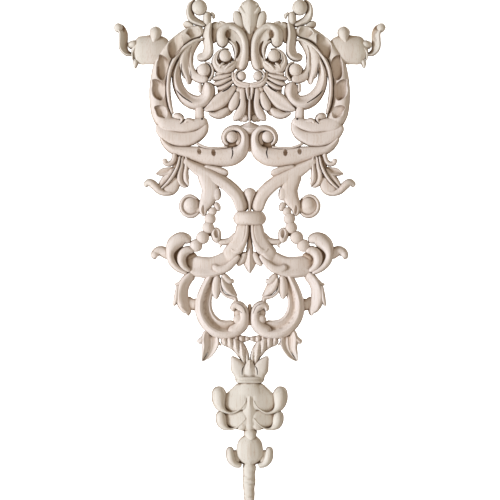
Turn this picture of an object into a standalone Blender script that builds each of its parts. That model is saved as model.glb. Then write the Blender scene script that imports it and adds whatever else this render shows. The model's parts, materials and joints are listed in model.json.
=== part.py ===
"""Carved wood applique: one piece of relief carving, flat behind, made to be fixed to a panel.

The front faces -Y, the flat back lies in the plane y = 0 and +Z is up. The origin is on the back,
behind the collar that binds the two halves of the design. Every leaf, scroll and bead of the right
half is a swept stroke that starts behind the back; the strokes are joined, the back is planed flat
and the half is mirrored, so the finished carving is one solid.
"""

from math import cos, pi, sin

import bmesh
import bpy
import numpy as np

MM = 0.001

# Driving sizes, in millimetres.
TOP = 218.3
FOOT = -282.0
THICKEST = 18.0
BEHIND_BACK = 3.0
BALL_SIDES = 10
LONGEST_SPAN = 17.0
TURN_PER_SPAN = 44 * pi / 180
DENSE = 240
FACETS_KEPT = 0.5
WELD = 0.00003

# Cross-sections: pairs of place across the stroke, from its left edge (-1) to its right edge (1),
# and share of the stroke's height.
ROUND = ((-1, 0.50), (-0.42, 1.0), (0.42, 1.0), (1, 0.50))
RIDGE = ((-1, 0.50), (-0.1, 1.0), (0.1, 1.0), (1, 0.50))
SLAB = ((-1, 0.70), (-0.6, 1.0), (0.6, 1.0), (1, 0.70))
VEIN = ((-1, 0.52), (-0.5, 1.0), (-0.06, 0.70), (0.06, 0.70), (0.5, 1.0), (1, 0.52))
COVE = ((-1, 0.56), (-0.6, 0.96), (0, 0.54), (0.6, 0.96), (1, 0.56))
LEAN_LEFT = ((-1, 0.52), (-0.45, 1.0), (1, 0.42))
LEAN_RIGHT = ((-1, 0.42), (0.45, 1.0), (1, 0.52))
DISH_LEFT = ((-1, 0.54), (-0.65, 0.97), (0.1, 0.66), (1, 0.52))
DISH_RIGHT = ((-1, 0.52), (-0.1, 0.66), (0.65, 0.97), (1, 0.54))
BANDED = ((-1, 0.52), (0.3, 0.44), (0.62, 1.0), (1, 0.58))
BROAD = ((-1, 0.48), (-0.3, 1.0), (0.4, 0.84), (1, 0.46))


def crest():
    """The leaf at the top: a fluted blade with a roll across it and a smaller leaf beside it."""
    return (
        (RIDGE, (0, 182.6, 1.8, 12), (0, 191, 6.8, 13.4), (0, 208, 11, 15), (0, TOP, 8.6, 14)),
        (ROUND, (-10.6, 208.2, 1.6, 13), (0, 212, 5.4, THICKEST), (10.6, 208.2, 1.6, 13)),
        (ROUND, (9, 190.6, 3.6, 10), (12.2, 198, 4.7, 12), (13.8, 205.8, 3.4, 10.4)),
        (SLAB, (4, 185, 3.4, 9), (12, 194, 5, 9)),
        (LEAN_LEFT, (54.6, 217.8, 1.0, 10), (59.2, 208, 3.6, 13.4), (57.4, 198.8, 4.2, 13.6),
         (51.6, 195.4, 3.4, 13), (44, 192.4, 3.0, 12)),
        (ROUND, (42.4, 192, 3.8, 12.6), (42.4, 200, 4.3, 15), (41.4, 206.0, 3.4, 12.6)),
        (ROUND, (39.6, 204, 1.9, 11.4), (36.0, 199.0, 1.4, 10)),
        (LEAN_LEFT, (56.0, 190.4, 1.8, 10), (61, 192.4, 3.8, 11.6), (66.4, 194.8, 3.0, 10)),
    )


def arch_and_hook():
    """The arched scroll beside the middle, its thumb, and the hooked leaf that hangs next to it."""
    return (
        (DISH_LEFT, (11.4, 147.4, 4.2, 12), (8.3, 166, 7.9, 14), (13.4, 182.6, 9.0, 14.8),
         (19.6, 187.6, 8.0, 15), (26, 188, 6, 14)),
        (ROUND, (15.6, 191.6, 2.8, 14), (22.4, 190.4, 4.4, 16.4), (27.4, 184.4, 5.7, THICKEST),
         (26.2, 168.2, 4.6, 13.6)),
        (ROUND, (24, 193.6, 2.2, 10.4), (30.8, 198.8, 1.0, 8.4)),
        (LEAN_LEFT, (33.4, 196, 4.4, 10.6), (34.8, 188, 5.4, 10.6), (36.2, 172.8, 1.8, 9)),
        (LEAN_RIGHT, (39.6, 196, 3.0, 13), (42.2, 184, 4.7, 15.8), (41.1, 171, 5.0, 15.6),
         (46.4, 161, 4.0, 14), (53.2, 161.4, 2.8, 11.6)),
        (ROUND, (27.0, 168.4, 1.4, 13), (34.6, 160.4, 2.4, 14.4), (32.4, 150, 4.6, 14.4),
         (20.8, 148.8, 5.4, 13.6), (13.4, 157.2, 1.6, 12)),
        (SLAB, (18, 158, 5, 6), (31, 156, 5, 6)),
        (ROUND, (17.6, 141.6, 1.8, 11), (28, 141, 3.5, 12), (36.6, 138.2, 1.6, 10)),
    )


def corner_flower():
    """The bell flower on the outer corner: barrel, flap, upper lobe and the curled petal."""
    return (
        (ROUND, (86, 163.6, 6.6, 11), (100, 162, 8.2, 14), (112.6, 162, 7.2, 12.6), (118.4, 164, 4.0, 10)),
        (SLAB, (78.4, 172.4, 3.6, 10.6), (90, 175.6, 6.0, 12), (104, 175.4, 6.6, 12), (122, 171.6, 3.6, 9.6)),
        (ROUND, (96.4, 173.6, 1.8, 12.4), (94.4, 181, 5.4, 14.4), (93.8, 191.2, 5.4, 12)),
        (ROUND, (113.2, 158, 3.2, 11.6), (114.3, 149.4, 0.9, 9.4)),
        (LEAN_RIGHT, (117.4, 163.2, 1.6, 11), (126.2, 171, 4.3, 14.4), (126.4, 185, 4.4, 15),
         (134.8, 190.2, 3.0, 12)),
    )


def great_scroll():
    """The great C on the outside, its inner rim and the leaf and crescent that fill it."""
    return (
        (BROAD, (45.6, 187, 6.2, 13), (65.4, 180.4, 6.6, 14), (79.8, 167.4, 7.3, 14.4), (88.9, 149, 7.9, 14.8),
         (91.8, 126, 8.4, 14.8), (88.6, 103.4, 9.2, 14.4), (76, 92, 8.4, 13)),
        (ROUND, (46.2, 178.6, 1.3, 13.4), (62, 171.8, 2.2, 15.4), (74.8, 156.6, 2.3, 15.6),
         (80.2, 136, 2.3, 15.6), (78.4, 112.6, 2.1, 15), (76.4, 100.6, 1.5, 13)),
        (SLAB, (58, 178, 3.4, 7), (82.4, 148, 3.4, 7), (84, 124, 3.4, 7), (81, 104, 3.4, 7)),
        (BROAD, (65.4, 163.8, 1.8, 12), (73.0, 144, 4.5, 13.2), (68.8, 126, 6.0, 13.8), (54.6, 115.2, 7.3, 14.2),
         (40.6, 120.4, 5.4, 14.6), (42.0, 133.2, 3.5, 14.2), (51.4, 129.4, 1.6, 11.6)),
        (SLAB, (42, 128, 4, 5.5), (51, 119, 4, 5.5)),
        (DISH_RIGHT, (47.6, 176.4, 1.4, 11), (60, 164.4, 4.5, 12.4), (61.8, 147, 5.2, 12.4), (62.8, 131.0, 1.0, 8.6)),
        (SLAB, (66.6, 157, 2.6, 6.5), (66.6, 136, 2.6, 6.5)),
        (ROUND, (57.8, 153, 2.6, 11.4), (57, 144.6, 3.4, 12.2), (47.4, 137.6, 3.3, 12.8), (41.6, 136.6, 1.8, 12)),
        (ROUND, (44.8, 155.4, 1.2, 11), (36.9, 148, 1.8, 13), (41, 136.6, 1.6, 12.6)),
    )


def shell_cup():
    """The layered cup under the crescent and the post beside it."""
    return (
        (SLAB, (90, 98, 6.0, 13), (74, 93.2, 7.9, 14.8), (52, 93.8, 5.8, 14.6), (42.0, 97.4, 3.6, 13)),
        (SLAB, (43.6, 97, 2.4, 11), (51.6, 82.4, 6.0, 12.8), (62, 79.0, 7.8, 13), (84.4, 84, 7.0, 12.8),
         (93, 92.4, 3.4, 11.6)),
        (ROUND, (75, 101.6, 2.0, 12.6), (70.2, 102.8, 3.0, 14.4), (65.2, 97.2, 1.8, 13)),
        (SLAB, (49.6, 114, 4.8, 10.4), (49.6, 95, 5.0, 10.8)),
    )


def fan_leaves():
    """The tulip in the middle with the skirt, lens and wing leaves that fan out from the yoke."""
    return (
        (SLAB, (0, 132, 8, 6.5), (0, 97, 4.6, 6.5)),
        (VEIN, (0, 133, 7.0, 12.6), (0, 124, 4.8, 13.2), (0, 95, 1.2, 13)),
        (LEAN_RIGHT, (7.6, 130, 1.8, 11.4), (7.6, 111, 5.3, 12.2), (8.0, 102, 6.3, 11.8), (8.6, 91.0, 2.4, 10)),
        (COVE, (10.6, 127, 1.4, 11.6), (15.8, 113.4, 4.7, 13), (18.2, 103.2, 1.8, 11)),
        (VEIN, (13, 129.8, 1.8, 11), (23.4, 113.2, 6.0, 12.4), (30.6, 107.4, 7.8, 12.2), (46, 104.4, 3.6, 10.6)),
        (SLAB, (13, 122, 3.4, 6.5), (19, 108, 5.6, 6.5)),
        (ROUND, (11, 101.6, 2.8, 10), (17.6, 97.2, 0.9, 8.4)),
        (ROUND, (8.2, 147.8, 1.2, 11), (14.6, 141.6, 1.8, 13.6), (7.6, 134.4, 2.0, 14), (-1.0, 133.0, 1.8, 14)),
        (ROUND, (16.8, 145, 1.4, 10.6), (12.6, 133.4, 2.9, 11.8), (-1, 131.0, 2.5, 12.4)),
        (LEAN_LEFT, (16.6, 136.8, 2.2, 12), (22.6, 130, 4.3, 13.2), (25.0, 122.6, 1.8, 11.6)),
        (SLAB, (27, 136, 3.6, 5.5), (33, 128, 4.6, 5.5)),
        (ROUND, (21, 122.8, 1.8, 11), (34, 119.0, 1.5, 11)),
    )


def upper_scroll():
    """The scroll that closes the upper opening, curled round its ball, with the calyx between the pair."""
    return (
        (BROAD, (89, 80, 1.6, 10), (78, 68.6, 4.2, 10.8), (60.4, 64.4, 6.8, 12.8), (39.6, 61.0, 9.6, 13.8),
         (17.0, 61.6, 9.2, 14), (5.0, 74, 4.8, 14.6), (9.2, 88.4, 3.5, 15.2), (22.2, 87.4, 3.0, 14.6),
         (25.4, 76.4, 2.4, 13.4), (21.6, 72.4, 1.8, 12)),
        (ROUND, (28, 70.2, 1.6, 13), (40, 70.4, 1.6, 13), (55, 77.6, 1.4, 12)),
        (ROUND, (34.6, 69, 1.4, 13), (36.0, 63, 2.2, 15), (41, 56.4, 1.4, 14.2)),
        (ROUND, (18.2, 71, 1.5, 13), (17.6, 65, 2.4, 15), (21.6, 57.6, 1.4, 14)),
        (SLAB, (24, 70, 4, 6.5), (15, 87, 7, 6.5)),
        (SLAB, (0, 87, 2.4, 8), (0, 66, 2.0, 8)),
        (SLAB, (0, 184, 2.6, 8), (0, 156.6, 1.9, 8)),
        (RIDGE, (-10.8, 91.0, 0.8, 10.6), (0, 90.8, 6.7, 15.6), (10.8, 91.0, 0.8, 10.6)),
        (ROUND, (44, 51.0, 2.4, 10), (26, 46.2, 3.5, 10.4), (18.6, 44.8, 2.8, 9.4)),
    )


def side_flower():
    """The flower on the outside of the upper stem, with its straight, low, middle and hooked petals."""
    return (
        (DISH_RIGHT, (64, 61, 3.6, 11), (66.8, 43, 6.4, 11.6), (66, 36.4, 6.4, 11), (60.6, 30.8, 2.2, 9.6)),
        (ROUND, (69.4, 61.6, 1.4, 12.4), (75.6, 43.6, 2.0, 14), (88.4, 28.8, 1.5, 12.4)),
        (SLAB, (74.4, 41, 3.0, 10.4), (79, 29, 6.4, 11.4), (87, 27, 4.6, 11.4)),
        (ROUND, (77, 25.4, 2.2, 11.6), (90, 27.2, 3.8, 13.8), (98.4, 34.8, 4.2, 14.6), (104.2, 30.8, 1.8, 11)),
        (ROUND, (76.6, 49, 2.2, 11), (87.0, 35.6, 3.4, 11.4), (90.6, 30, 1.8, 11)),
        (DISH_RIGHT, (76.0, 50.4, 1.8, 11), (86, 45.8, 4.3, 12), (93.6, 43.8, 1.0, 10)),
        (ROUND, (75, 65, 2.8, 11), (77.6, 55.2, 2.8, 12.2), (85.2, 55.6, 2.4, 12.6), (85.0, 59.4, 1.7, 11)),
    )


def upper_stem():
    """The upper stem, the branch that drops from it and the volute beside the beads."""
    return (
        (DISH_LEFT, (7.2, 5, 6.4, 12.4), (11.8, 21.6, 7.0, 13.2), (27.4, 36.4, 6.6, 13.2), (48.4, 47.6, 7.0, 13),
         (66, 59, 3.4, 12)),
        (RIDGE, (43, 38.6, 3.8, 11), (42.8, 22, 4.0, 12.4), (43.6, 14, 5.2, 12.2), (44.2, -1, 1.6, 10)),
        (LEAN_LEFT, (36, 36, 4.2, 11), (33.8, 22, 5.4, 11.4), (26.5, 14.4, 1.0, 9)),
        (ROUND, (35.4, 15.6, 3.0, 10.4), (30.4, 6.4, 1.8, 9.6)),
        (ROUND, (45, 12, 3.6, 9.6), (55, 6, 3.2, 9.6)),
        (ROUND, (50.8, 5.8, 1.6, 10), (61.6, 2.4, 2.4, 12), (68.2, 12, 2.4, 12.6), (58.4, 21.8, 2.0, 11.6),
         (52.4, 18.4, 1.6, 10)),
    )


def middle():
    """The collar, the bud above it and the pendant leaves below it."""
    return (
        (SLAB, (-17, -0.2, 5.8, 10), (0, -0.4, 7.2, THICKEST), (17, -0.2, 5.8, 10)),
        (ROUND, (0, 4, 2.0, 10), (0, 14, 2.2, 10), (0, 25.4, 6.4, 12), (0, 31, 4.8, 10)),
        (ROUND, (0, -5, 1.6, 8), (0, -34, 4.4, 9)),
        (RIDGE, (0, -29, 2.2, 10), (0, -42, 6.2, 11.8), (0, -55.6, 0.8, 8.6)),
        (ROUND, (3.4, -35, 2.6, 10), (12.4, -48.4, 1.6, 8.8)),
    )


def lower_stem():
    """The lower stem with its lapped tongues, the curl at its end and the finger outside the curl."""
    return (
        (BANDED, (6.9, -4, 6.3, 12.4), (11.8, -25.6, 8.2, 13.2), (27.2, -45.2, 10, 13.4), (50, -49.0, 10.7, 13.4),
         (62, -47.0, 10.2, 12.6)),
        (ROUND, (2.6, -6, 1.9, 13.4), (6.6, -26, 3.0, 14.6), (15.4, -33.2, 2.8, 14), (19.0, -30.2, 0.9, 13)),
        (ROUND, (10.2, -37.0, 2.2, 13), (24.4, -50.4, 4.4, 15), (37.4, -47.6, 3.2, 14)),
        (ROUND, (62, -55.4, 2.2, 12), (76.2, -44, 3.8, 15), (75.6, -26.6, 6.2, 17), (63, -21.4, 5.4, 15.6),
         (60, -27.6, 2.4, 13)),
        (ROUND, (59.4, -31.4, 1.8, 12.6), (68.6, -38.6, 3.7, 14.4), (63.4, -51.6, 2.0, 12)),
        (SLAB, (60, -52, 4, 7), (70, -40, 8, 7), (66, -28, 8, 7)),
        (SLAB, (56, -40, 5, 6.5), (60, -30, 6, 6.5)),
        (ROUND, (79, -39.4, 4.8, 10), (86.6, -33.2, 4.9, 11.4), (94.8, -36, 3.8, 11.4), (95.6, -41.4, 2.0, 9.5)),
        (ROUND, (13, -15, 2.4, 10), (21, -23.4, 3.7, 10.4), (32, -23.6, 2.8, 10)),
        (ROUND, (33.6, -9.2, 3.8, 11.6), (33.6, -16, 5.4, 14), (32.4, -25, 3.6, 11.6)),
    )


def drops():
    """The hooked leaf and the small drop that hang under the lower stem."""
    return (
        (ROUND, (27, -56, 3.6, 11), (20.4, -63, 3.9, 11.8), (16.0, -61.4, 1.8, 10)),
        (LEAN_LEFT, (27, -59, 2.6, 12.2), (24, -66, 5.2, 12.6), (19.4, -72.4, 5.0, 12.2), (12.6, -78.4, 1.0, 10)),
        (ROUND, (29.4, -64, 1.4, 10), (23.4, -77.8, 1.8, 10.4), (14.2, -84, 2.4, 10.6)),
        (VEIN, (31.6, -58, 2.8, 10), (32.8, -73, 3.5, 10.4), (33.2, -81.8, 1.3, 8.6)),
        (ROUND, (35.4, -66, 1.8, 10.6), (37.0, -78.4, 1.0, 9)),
    )


def loop():
    """The leafy loop outside the lower scroll."""
    return (
        (DISH_RIGHT, (57, -56, 4.6, 10.4), (66.6, -71, 5.6, 11.6), (67.4, -80, 6.0, 11.6), (61.4, -98.4, 0.9, 8)),
        (ROUND, (66, -86.2, 5.8, 10.4), (50, -86.6, 5.4, 10)),
        (ROUND, (72.4, -69.6, 1.4, 10), (74.0, -82, 2.6, 11.4), (76.0, -88, 1.3, 9)),
        (ROUND, (67, -62, 2.2, 10), (75.2, -66.2, 1.0, 8)),
        (ROUND, (67, -87, 3.2, 10), (69.0, -92, 1.8, 8.6)),
    )


def lower_scroll():
    """The lower scroll, its volute and tongue, and the tail that runs off it."""
    return (
        (BROAD, (34.6, -54, 5.6, 11), (43.6, -74, 7.4, 13.4), (45.4, -94, 8.9, 14), (33, -109.6, 9.4, 14),
         (14.8, -110.2, 9.0, 13.4), (8.6, -105.4, 6.4, 12.6)),
        (ROUND, (22, -118.4, 2.4, 12.6), (5.2, -109.4, 3.8, 14.4), (3.7, -93.6, 3.3, 15.2), (12.6, -84.2, 3.7, 15.4),
         (17.4, -91.6, 2.2, 13.4), (16.4, -95.8, 1.4, 11.6)),
        (ROUND, (8.8, -105, 2.6, 11.5), (10, -97, 3.2, 13.2), (15.4, -102.0, 1.2, 10.5)),
        (SLAB, (6, -105, 5, 6), (9, -96, 7.0, 6), (13, -88, 4, 6)),
        (SLAB, (0, -85.8, 2.0, 8), (0, -107.6, 1.9, 8)),
        (LEAN_LEFT, (42.4, -112, 3.6, 11), (44.0, -121, 4.6, 12), (43.8, -129, 4.0, 12), (47.6, -143, 0.8, 9)),
        (ROUND, (44.6, -118, 2.4, 11), (52.6, -123.8, 2.3, 10.5)),
        (DISH_RIGHT, (35.4, -117, 3.4, 10), (35.2, -125, 4.4, 10.6), (46.4, -142.6, 0.9, 8.5)),
        (ROUND, (33, -122.6, 2.0, 9.5), (28.2, -127.8, 1.0, 8)),
    )


def rope_and_cup():
    """The rope arms, the petals they rest in and the two rings round the neck."""
    return (
        (ROUND, (29.4, -122.8, 4.2, 10), (20, -124.4, 5.2, 12), (12.4, -128.2, 6.2, 13), (4.6, -141.6, 4.4, 12.4),
         (4, -148, 2.6, 11)),
        (ROUND, (15, -119.4, 2.6, 9.5), (8, -120.8, 3.8, 10), (-1, -120.4, 1.8, 8.5)),
        (RIDGE, (0, -158, 8.6, 14.6), (0, -152, 8.4, 17), (0, -140.4, 0.9, 13)),
        (LEAN_RIGHT, (9.2, -158, 4.6, 13), (13.6, -146, 6.2, 15), (18.0, -137.6, 2.2, 12.5)),
        (ROUND, (-14.4, -159.2, 2.2, 9), (-10, -159.2, 2.4, 14.4), (10, -159.2, 2.4, 14.4), (14.4, -159.2, 2.2, 9)),
        (ROUND, (-14.6, -163.8, 2.2, 9), (-10.4, -163.8, 2.4, 14.8), (10.4, -163.8, 2.4, 14.8),
         (14.6, -163.8, 2.2, 9)),
    )


def bell_and_bud():
    """The bell with its two pairs of curls, the bud below it and the stub of stem at the foot."""
    return (
        (SLAB, (0, -165, 10, 8), (0, -176, 20, 8), (0, -190, 28, 7.5), (0, -206, 23, 7.5), (0, -213, 10, 7.5)),
        (RIDGE, (0, -161, 13, 14.5), (0, -172, 11, 16), (0, -181, 7.4, 16), (0, -213, 8.6, 13.6)),
        (DISH_RIGHT, (7, -167, 4.6, 14), (16, -183, 10, 12), (15, -191, 9, 11)),
        (DISH_RIGHT, (10, -190, 6, 12.5), (15.4, -206, 7.0, 10.4)),
        (ROUND, (27.8, -167, 6.4, 13), (30.2, -178, 7.6, 16.4), (27.6, -189.6, 5.4, 15), (20.6, -193.4, 2.8, 13.8),
         (6.4, -187, 1.9, 14.4)),
        (ROUND, (28.6, -191.6, 4.6, 13), (28.2, -200, 5.9, 15), (19.6, -209.6, 2.7, 12.4), (7.4, -204.2, 1.8, 13)),
        (ROUND, (5, -206, 2.4, 13), (9.4, -218.2, 1.8, 11)),
        (SLAB, (0, -228, 13, 6.5), (0, -240, 17, 6.5), (0, -249, 12, 6.5)),
        (RIDGE, (0, -215.5, 9, 13.6), (0, -227, 12.6, 15), (0, -236, 13.0, 14.8), (0, -249, 8.6, 12.5)),
        (ROUND, (0, -210, 5.4, 12), (0, -217, 7.4, 14.4), (0, -223.4, 8.8, 15.6)),
        (ROUND, (19.0, -227.6, 3.6, 12), (19.8, -234, 4.4, 14), (15, -245.4, 3.8, 12.6), (8, -247.6, 2.4, 11)),
        (RIDGE, (0, -240, 6.2, 10.5), (0, -253, 7.0, 11), (0, -264, 6.4, 10.4), (0, -279, 6.4, 10.4)),
    )


# Balls and beads: centre, radius and height.
BALLS = (
    (50.0, 209.8, 7.6, 17.4), (131.2, 189.6, 4.3, 15.4), (45.8, 147.6, 6.8, 16), (46, 146, 8.4, 6.5),
    (24.2, 162.0, 6.9, 16.6), (8.0, 141.5, 4.7, 14.6), (15.4, 80.3, 6.6, 15.4), (15.4, 80, 10, 6.5),
    (59.7, 12.0, 11.4, 10.6), (58.6, 13.2, 6.4, 14.4), (94.6, -36.6, 3.5, 12.6),
)
# The string of beads: centres and radii from the collar down to the curl.
BEADS = (
    (37.2, 6.4, 4.4), (39.6, -0.8, 5.9), (41.4, -9.6, 6.1), (47.0, -19.6, 6.7), (53.6, -27.6, 6.5), (57.6, -34.2, 3.8),
)
BEAD_HEIGHT = 14.0
DOME = ((1.0, 0.55), (0.72, 0.86), (0.3, 1.0))


def station_places(knots):
    """Stations along the smooth curve through the knots, closer together where it turns."""
    table = np.array(knots, float)
    chords = np.sqrt(np.hypot(*np.diff(table[:, :2], axis=0).T))
    marks = np.concatenate([[0.0], np.cumsum(chords)])
    slopes = np.gradient(table, marks, axis=0)
    if len(table) == 2:
        slopes = np.repeat((table[1:] - table[:1]) / marks[-1], 2, axis=0)
    places = np.linspace(0.0, marks[-1], DENSE)
    left = np.clip(np.searchsorted(marks, places, side="right") - 1, 0, len(marks) - 2)
    gap = marks[left + 1] - marks[left]
    share = ((places - marks[left]) / gap)[:, None]
    gap = gap[:, None]
    curve = (
        (2 * share**3 - 3 * share**2 + 1) * table[left]
        + (share**3 - 2 * share**2 + share) * gap * slopes[left]
        + (3 * share**2 - 2 * share**3) * table[left + 1]
        + (share**3 - share**2) * gap * slopes[left + 1]
    )
    steps = np.diff(curve[:, :2], axis=0)
    run = np.hypot(*steps.T)
    angle = np.unwrap(np.arctan2(steps[:, 1], steps[:, 0]))
    turn = np.abs(np.diff(angle, append=angle[-1]))
    cost = np.concatenate([[0.0], np.cumsum(run / LONGEST_SPAN + turn / TURN_PER_SPAN)])
    spans = max(2, round(cost[-1]))
    wanted = np.linspace(0.0, cost[-1], spans + 1)
    at = np.interp(wanted, cost, np.arange(DENSE))
    picked = np.stack([np.interp(at, np.arange(DENSE), column) for column in curve.T], 1)
    tangent = np.gradient(curve[:, :2], axis=0)
    tangent /= np.hypot(*tangent.T)[:, None]
    direction = np.stack([np.interp(at, np.arange(DENSE), column) for column in tangent.T], 1)
    direction /= np.hypot(*direction.T)[:, None]
    bend = np.gradient(np.unwrap(np.arctan2(tangent[:, 1], tangent[:, 0])))
    bend /= np.maximum(np.hypot(*np.gradient(curve[:, :2], axis=0).T), 1e-6)
    return picked, direction, np.interp(at, np.arange(DENSE), bend)


def add_stroke(mesh, section, knots, depth):
    """Sweep the cross-section along the stroke, from behind the back up to its carved face."""
    places, direction, bend = station_places(knots)
    ends = (0, len(places) - 1)
    rings = []
    for number, (x, z, width, height) in enumerate(places):
        narrow = 0.55 if number in ends else 1.0
        low = 0.86 if number in ends else 1.0
        left = np.array((-direction[number, 1], direction[number, 0]))
        inner_limit = 0.8 / max(abs(bend[number]), 1e-6)
        ring = []
        for across, share in section:
            offset = -across * width * narrow
            if offset * bend[number] > 0:
                offset = max(-inner_limit, min(inner_limit, offset))
            ring.append((x + left[0] * offset, -share * height * low, z + left[1] * offset))
        first = ring[0]
        last = ring[-1]
        ring.insert(0, (first[0], depth, first[2]))
        ring.append((last[0], depth, last[2]))
        rings.append([mesh.verts.new([value * MM for value in point]) for point in ring])
    for near, far in zip(rings, rings[1:]):
        count = len(near)
        for k in range(count):
            following = (k + 1) % count
            mesh.faces.new((near[k], far[k], far[following], near[following]))
    mesh.faces.new(rings[0])
    mesh.faces.new(rings[-1][::-1])


def add_ball(mesh, x, z, radius, height, depth):
    """A dome on a short cylinder that starts behind the back."""
    levels = [(1.0, depth)] + [(share, -rise * height) for share, rise in DOME]
    rings = []
    for share, y in levels:
        ring = []
        for k in range(BALL_SIDES):
            angle = 2 * pi * (k + 0.5) / BALL_SIDES
            place = (x + share * radius * cos(angle), y, z + share * radius * sin(angle))
            ring.append(mesh.verts.new([value * MM for value in place]))
        rings.append(ring)
    for near, far in zip(rings, rings[1:]):
        for k in range(BALL_SIDES):
            following = (k + 1) % BALL_SIDES
            mesh.faces.new((near[k], near[following], far[following], far[k]))
    mesh.faces.new(rings[0][::-1])
    mesh.faces.new(rings[-1])


def finished_object(name, mesh, collection):
    """Turn the bmesh into an object with its faces pointing out."""
    bmesh.ops.recalc_face_normals(mesh, faces=mesh.faces)
    data = bpy.data.meshes.new(name)
    mesh.to_mesh(data)
    mesh.free()
    made = bpy.data.objects.new(name, data)
    collection.objects.link(made)
    return made


def hide_helper(helper):
    """A helper is only an operand: it isn't rendered and shows as wire."""
    helper.hide_render = True
    helper.display_type = "WIRE"


def box_object(name, low, high, collection):
    """A plain box between two corners."""
    mesh = bmesh.new()
    bmesh.ops.create_cube(mesh, size=1.0)
    for vertex in mesh.verts:
        vertex.co = [
            (a + b) / 2 * MM + c * (b - a) * MM for a, b, c in zip(low, high, vertex.co)
        ]
    return finished_object(name, mesh, collection)


def helper_collection(name):
    """A collection of helpers, kept out of renders."""
    collection = bpy.data.collections.new(name)
    collection.hide_render = True
    bpy.context.scene.collection.children.link(collection)
    return collection


def wood():
    """Pale raw wood."""
    material = bpy.data.materials.new("carved_wood")
    material.use_nodes = True
    shader = material.node_tree.nodes["Principled BSDF"]
    shader.inputs["Base Color"].default_value = (0.66, 0.56, 0.47, 1.0)
    shader.inputs["Roughness"].default_value = 0.72
    shader.inputs["Metallic"].default_value = 0.0
    return material


def add_boolean(target, name, operation, operand=None, collection=None):
    """A Boolean with the exact solver."""
    modifier = target.modifiers.new(name, "BOOLEAN")
    modifier.operation = operation
    modifier.solver = "EXACT"
    if collection is not None:
        modifier.operand_type = "COLLECTION"
        modifier.collection = collection
    else:
        modifier.object = operand
    return modifier


def weld_close_points(target):
    """Turn the object's modifiers into its mesh, with triangles only and no points closer than the weld."""
    graph = bpy.context.evaluated_depsgraph_get()
    result = bpy.data.meshes.new_from_object(target.evaluated_get(graph))
    target.modifiers.clear()
    target.data = result
    mesh = bmesh.new()
    mesh.from_mesh(result)
    bmesh.ops.remove_doubles(mesh, verts=mesh.verts, dist=WELD)
    bmesh.ops.triangulate(mesh, faces=mesh.faces)
    bmesh.ops.dissolve_degenerate(mesh, edges=mesh.edges, dist=WELD)
    bmesh.ops.triangulate(mesh, faces=mesh.faces)
    mesh.to_mesh(result)
    mesh.free()


def mirror_half(data):
    """Open the half along the middle plane and join it to its mirror image."""
    mesh = bmesh.new()
    mesh.from_mesh(data)
    for vertex in mesh.verts:
        if abs(vertex.co.x) < WELD:
            vertex.co.x = 0.0
    middle_faces = [face for face in mesh.faces if all(vertex.co.x == 0.0 for vertex in face.verts)]
    bmesh.ops.delete(mesh, geom=middle_faces, context="FACES_ONLY")
    copies = bmesh.ops.duplicate(mesh, geom=mesh.verts[:] + mesh.edges[:] + mesh.faces[:])["geom"]
    for item in copies:
        if isinstance(item, bmesh.types.BMVert):
            item.co.x = -item.co.x
    bmesh.ops.reverse_faces(mesh, faces=[item for item in copies if isinstance(item, bmesh.types.BMFace)])
    seam = [vertex for vertex in mesh.verts if vertex.co.x == 0.0]
    bmesh.ops.remove_doubles(mesh, verts=seam, dist=1e-7)
    loose = [edge for edge in mesh.edges if not edge.link_faces]
    bmesh.ops.delete(mesh, geom=loose, context="EDGES")
    mesh.to_mesh(data)
    mesh.free()


def build():
    """Join the strokes of one half, plane the back, mirror the half."""
    for old in list(bpy.data.objects):
        bpy.data.objects.remove(old, do_unlink=True)
    parts = (
        crest, arch_and_hook, corner_flower, great_scroll, shell_cup, fan_leaves, upper_scroll, side_flower,
        upper_stem, middle, lower_stem, drops, loop, lower_scroll, rope_and_cup, bell_and_bud,
    )
    strokes = helper_collection("strokes")
    cutters = helper_collection("cutters")
    step = 0
    for part in parts:
        for section, *knots in part():
            mesh = bmesh.new()
            add_stroke(mesh, section, knots, BEHIND_BACK + 0.01 * step)
            step += 1
            hide_helper(finished_object(f"{part.__name__}_{step}", mesh, strokes))
    domes = BALLS + tuple((x, z, radius, BEAD_HEIGHT) for x, z, radius in BEADS)
    for x, z, radius, height in domes:
        mesh = bmesh.new()
        add_ball(mesh, x, z, radius, height, BEHIND_BACK + 0.01 * step)
        step += 1
        hide_helper(finished_object(f"ball_{step}", mesh, strokes))
    mesh = bmesh.new()
    add_stroke(mesh, SLAB, ((0, -250, 6.0, 9), (0, FOOT + 8, 5.0, 9), (0, FOOT, 8.8, 9)), BEHIND_BACK + 0.01 * step)
    applique = finished_object("applique", mesh, bpy.context.scene.collection)
    behind = box_object("behind", (-400, 0, -400), (400, 40, 400), cutters)
    hide_helper(behind)
    add_boolean(applique, "join strokes", "UNION", collection=strokes)
    add_boolean(applique, "plane back", "DIFFERENCE", operand=behind)
    weld_close_points(applique)
    fewer = applique.modifiers.new("fewer facets", "DECIMATE")
    fewer.ratio = FACETS_KEPT
    weld_close_points(applique)
    other_side = box_object("other_side", (-400, -60, -400), (0, 60, 400), cutters)
    hide_helper(other_side)
    add_boolean(applique, "halve", "DIFFERENCE", operand=other_side)
    weld_close_points(applique)
    mirror_half(applique.data)
    applique.data.materials.append(wood())
    return applique


build()
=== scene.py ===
"""The carved wood applique in close detail: strokes of a gouge carried along drawn curves.

Every leaf, scroll, ring and rope is one stroke: a cross-section swept along a smooth curve through a few
knots. A knot holds four lengths in millimetres: x, z, half the stroke's width and its height off the back.
Strokes of the right half are repeated on the left, then all of them are joined, cut with the gouge, the
knife and the drill, and planed flat behind.
"""

import json
from math import pi

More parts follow.
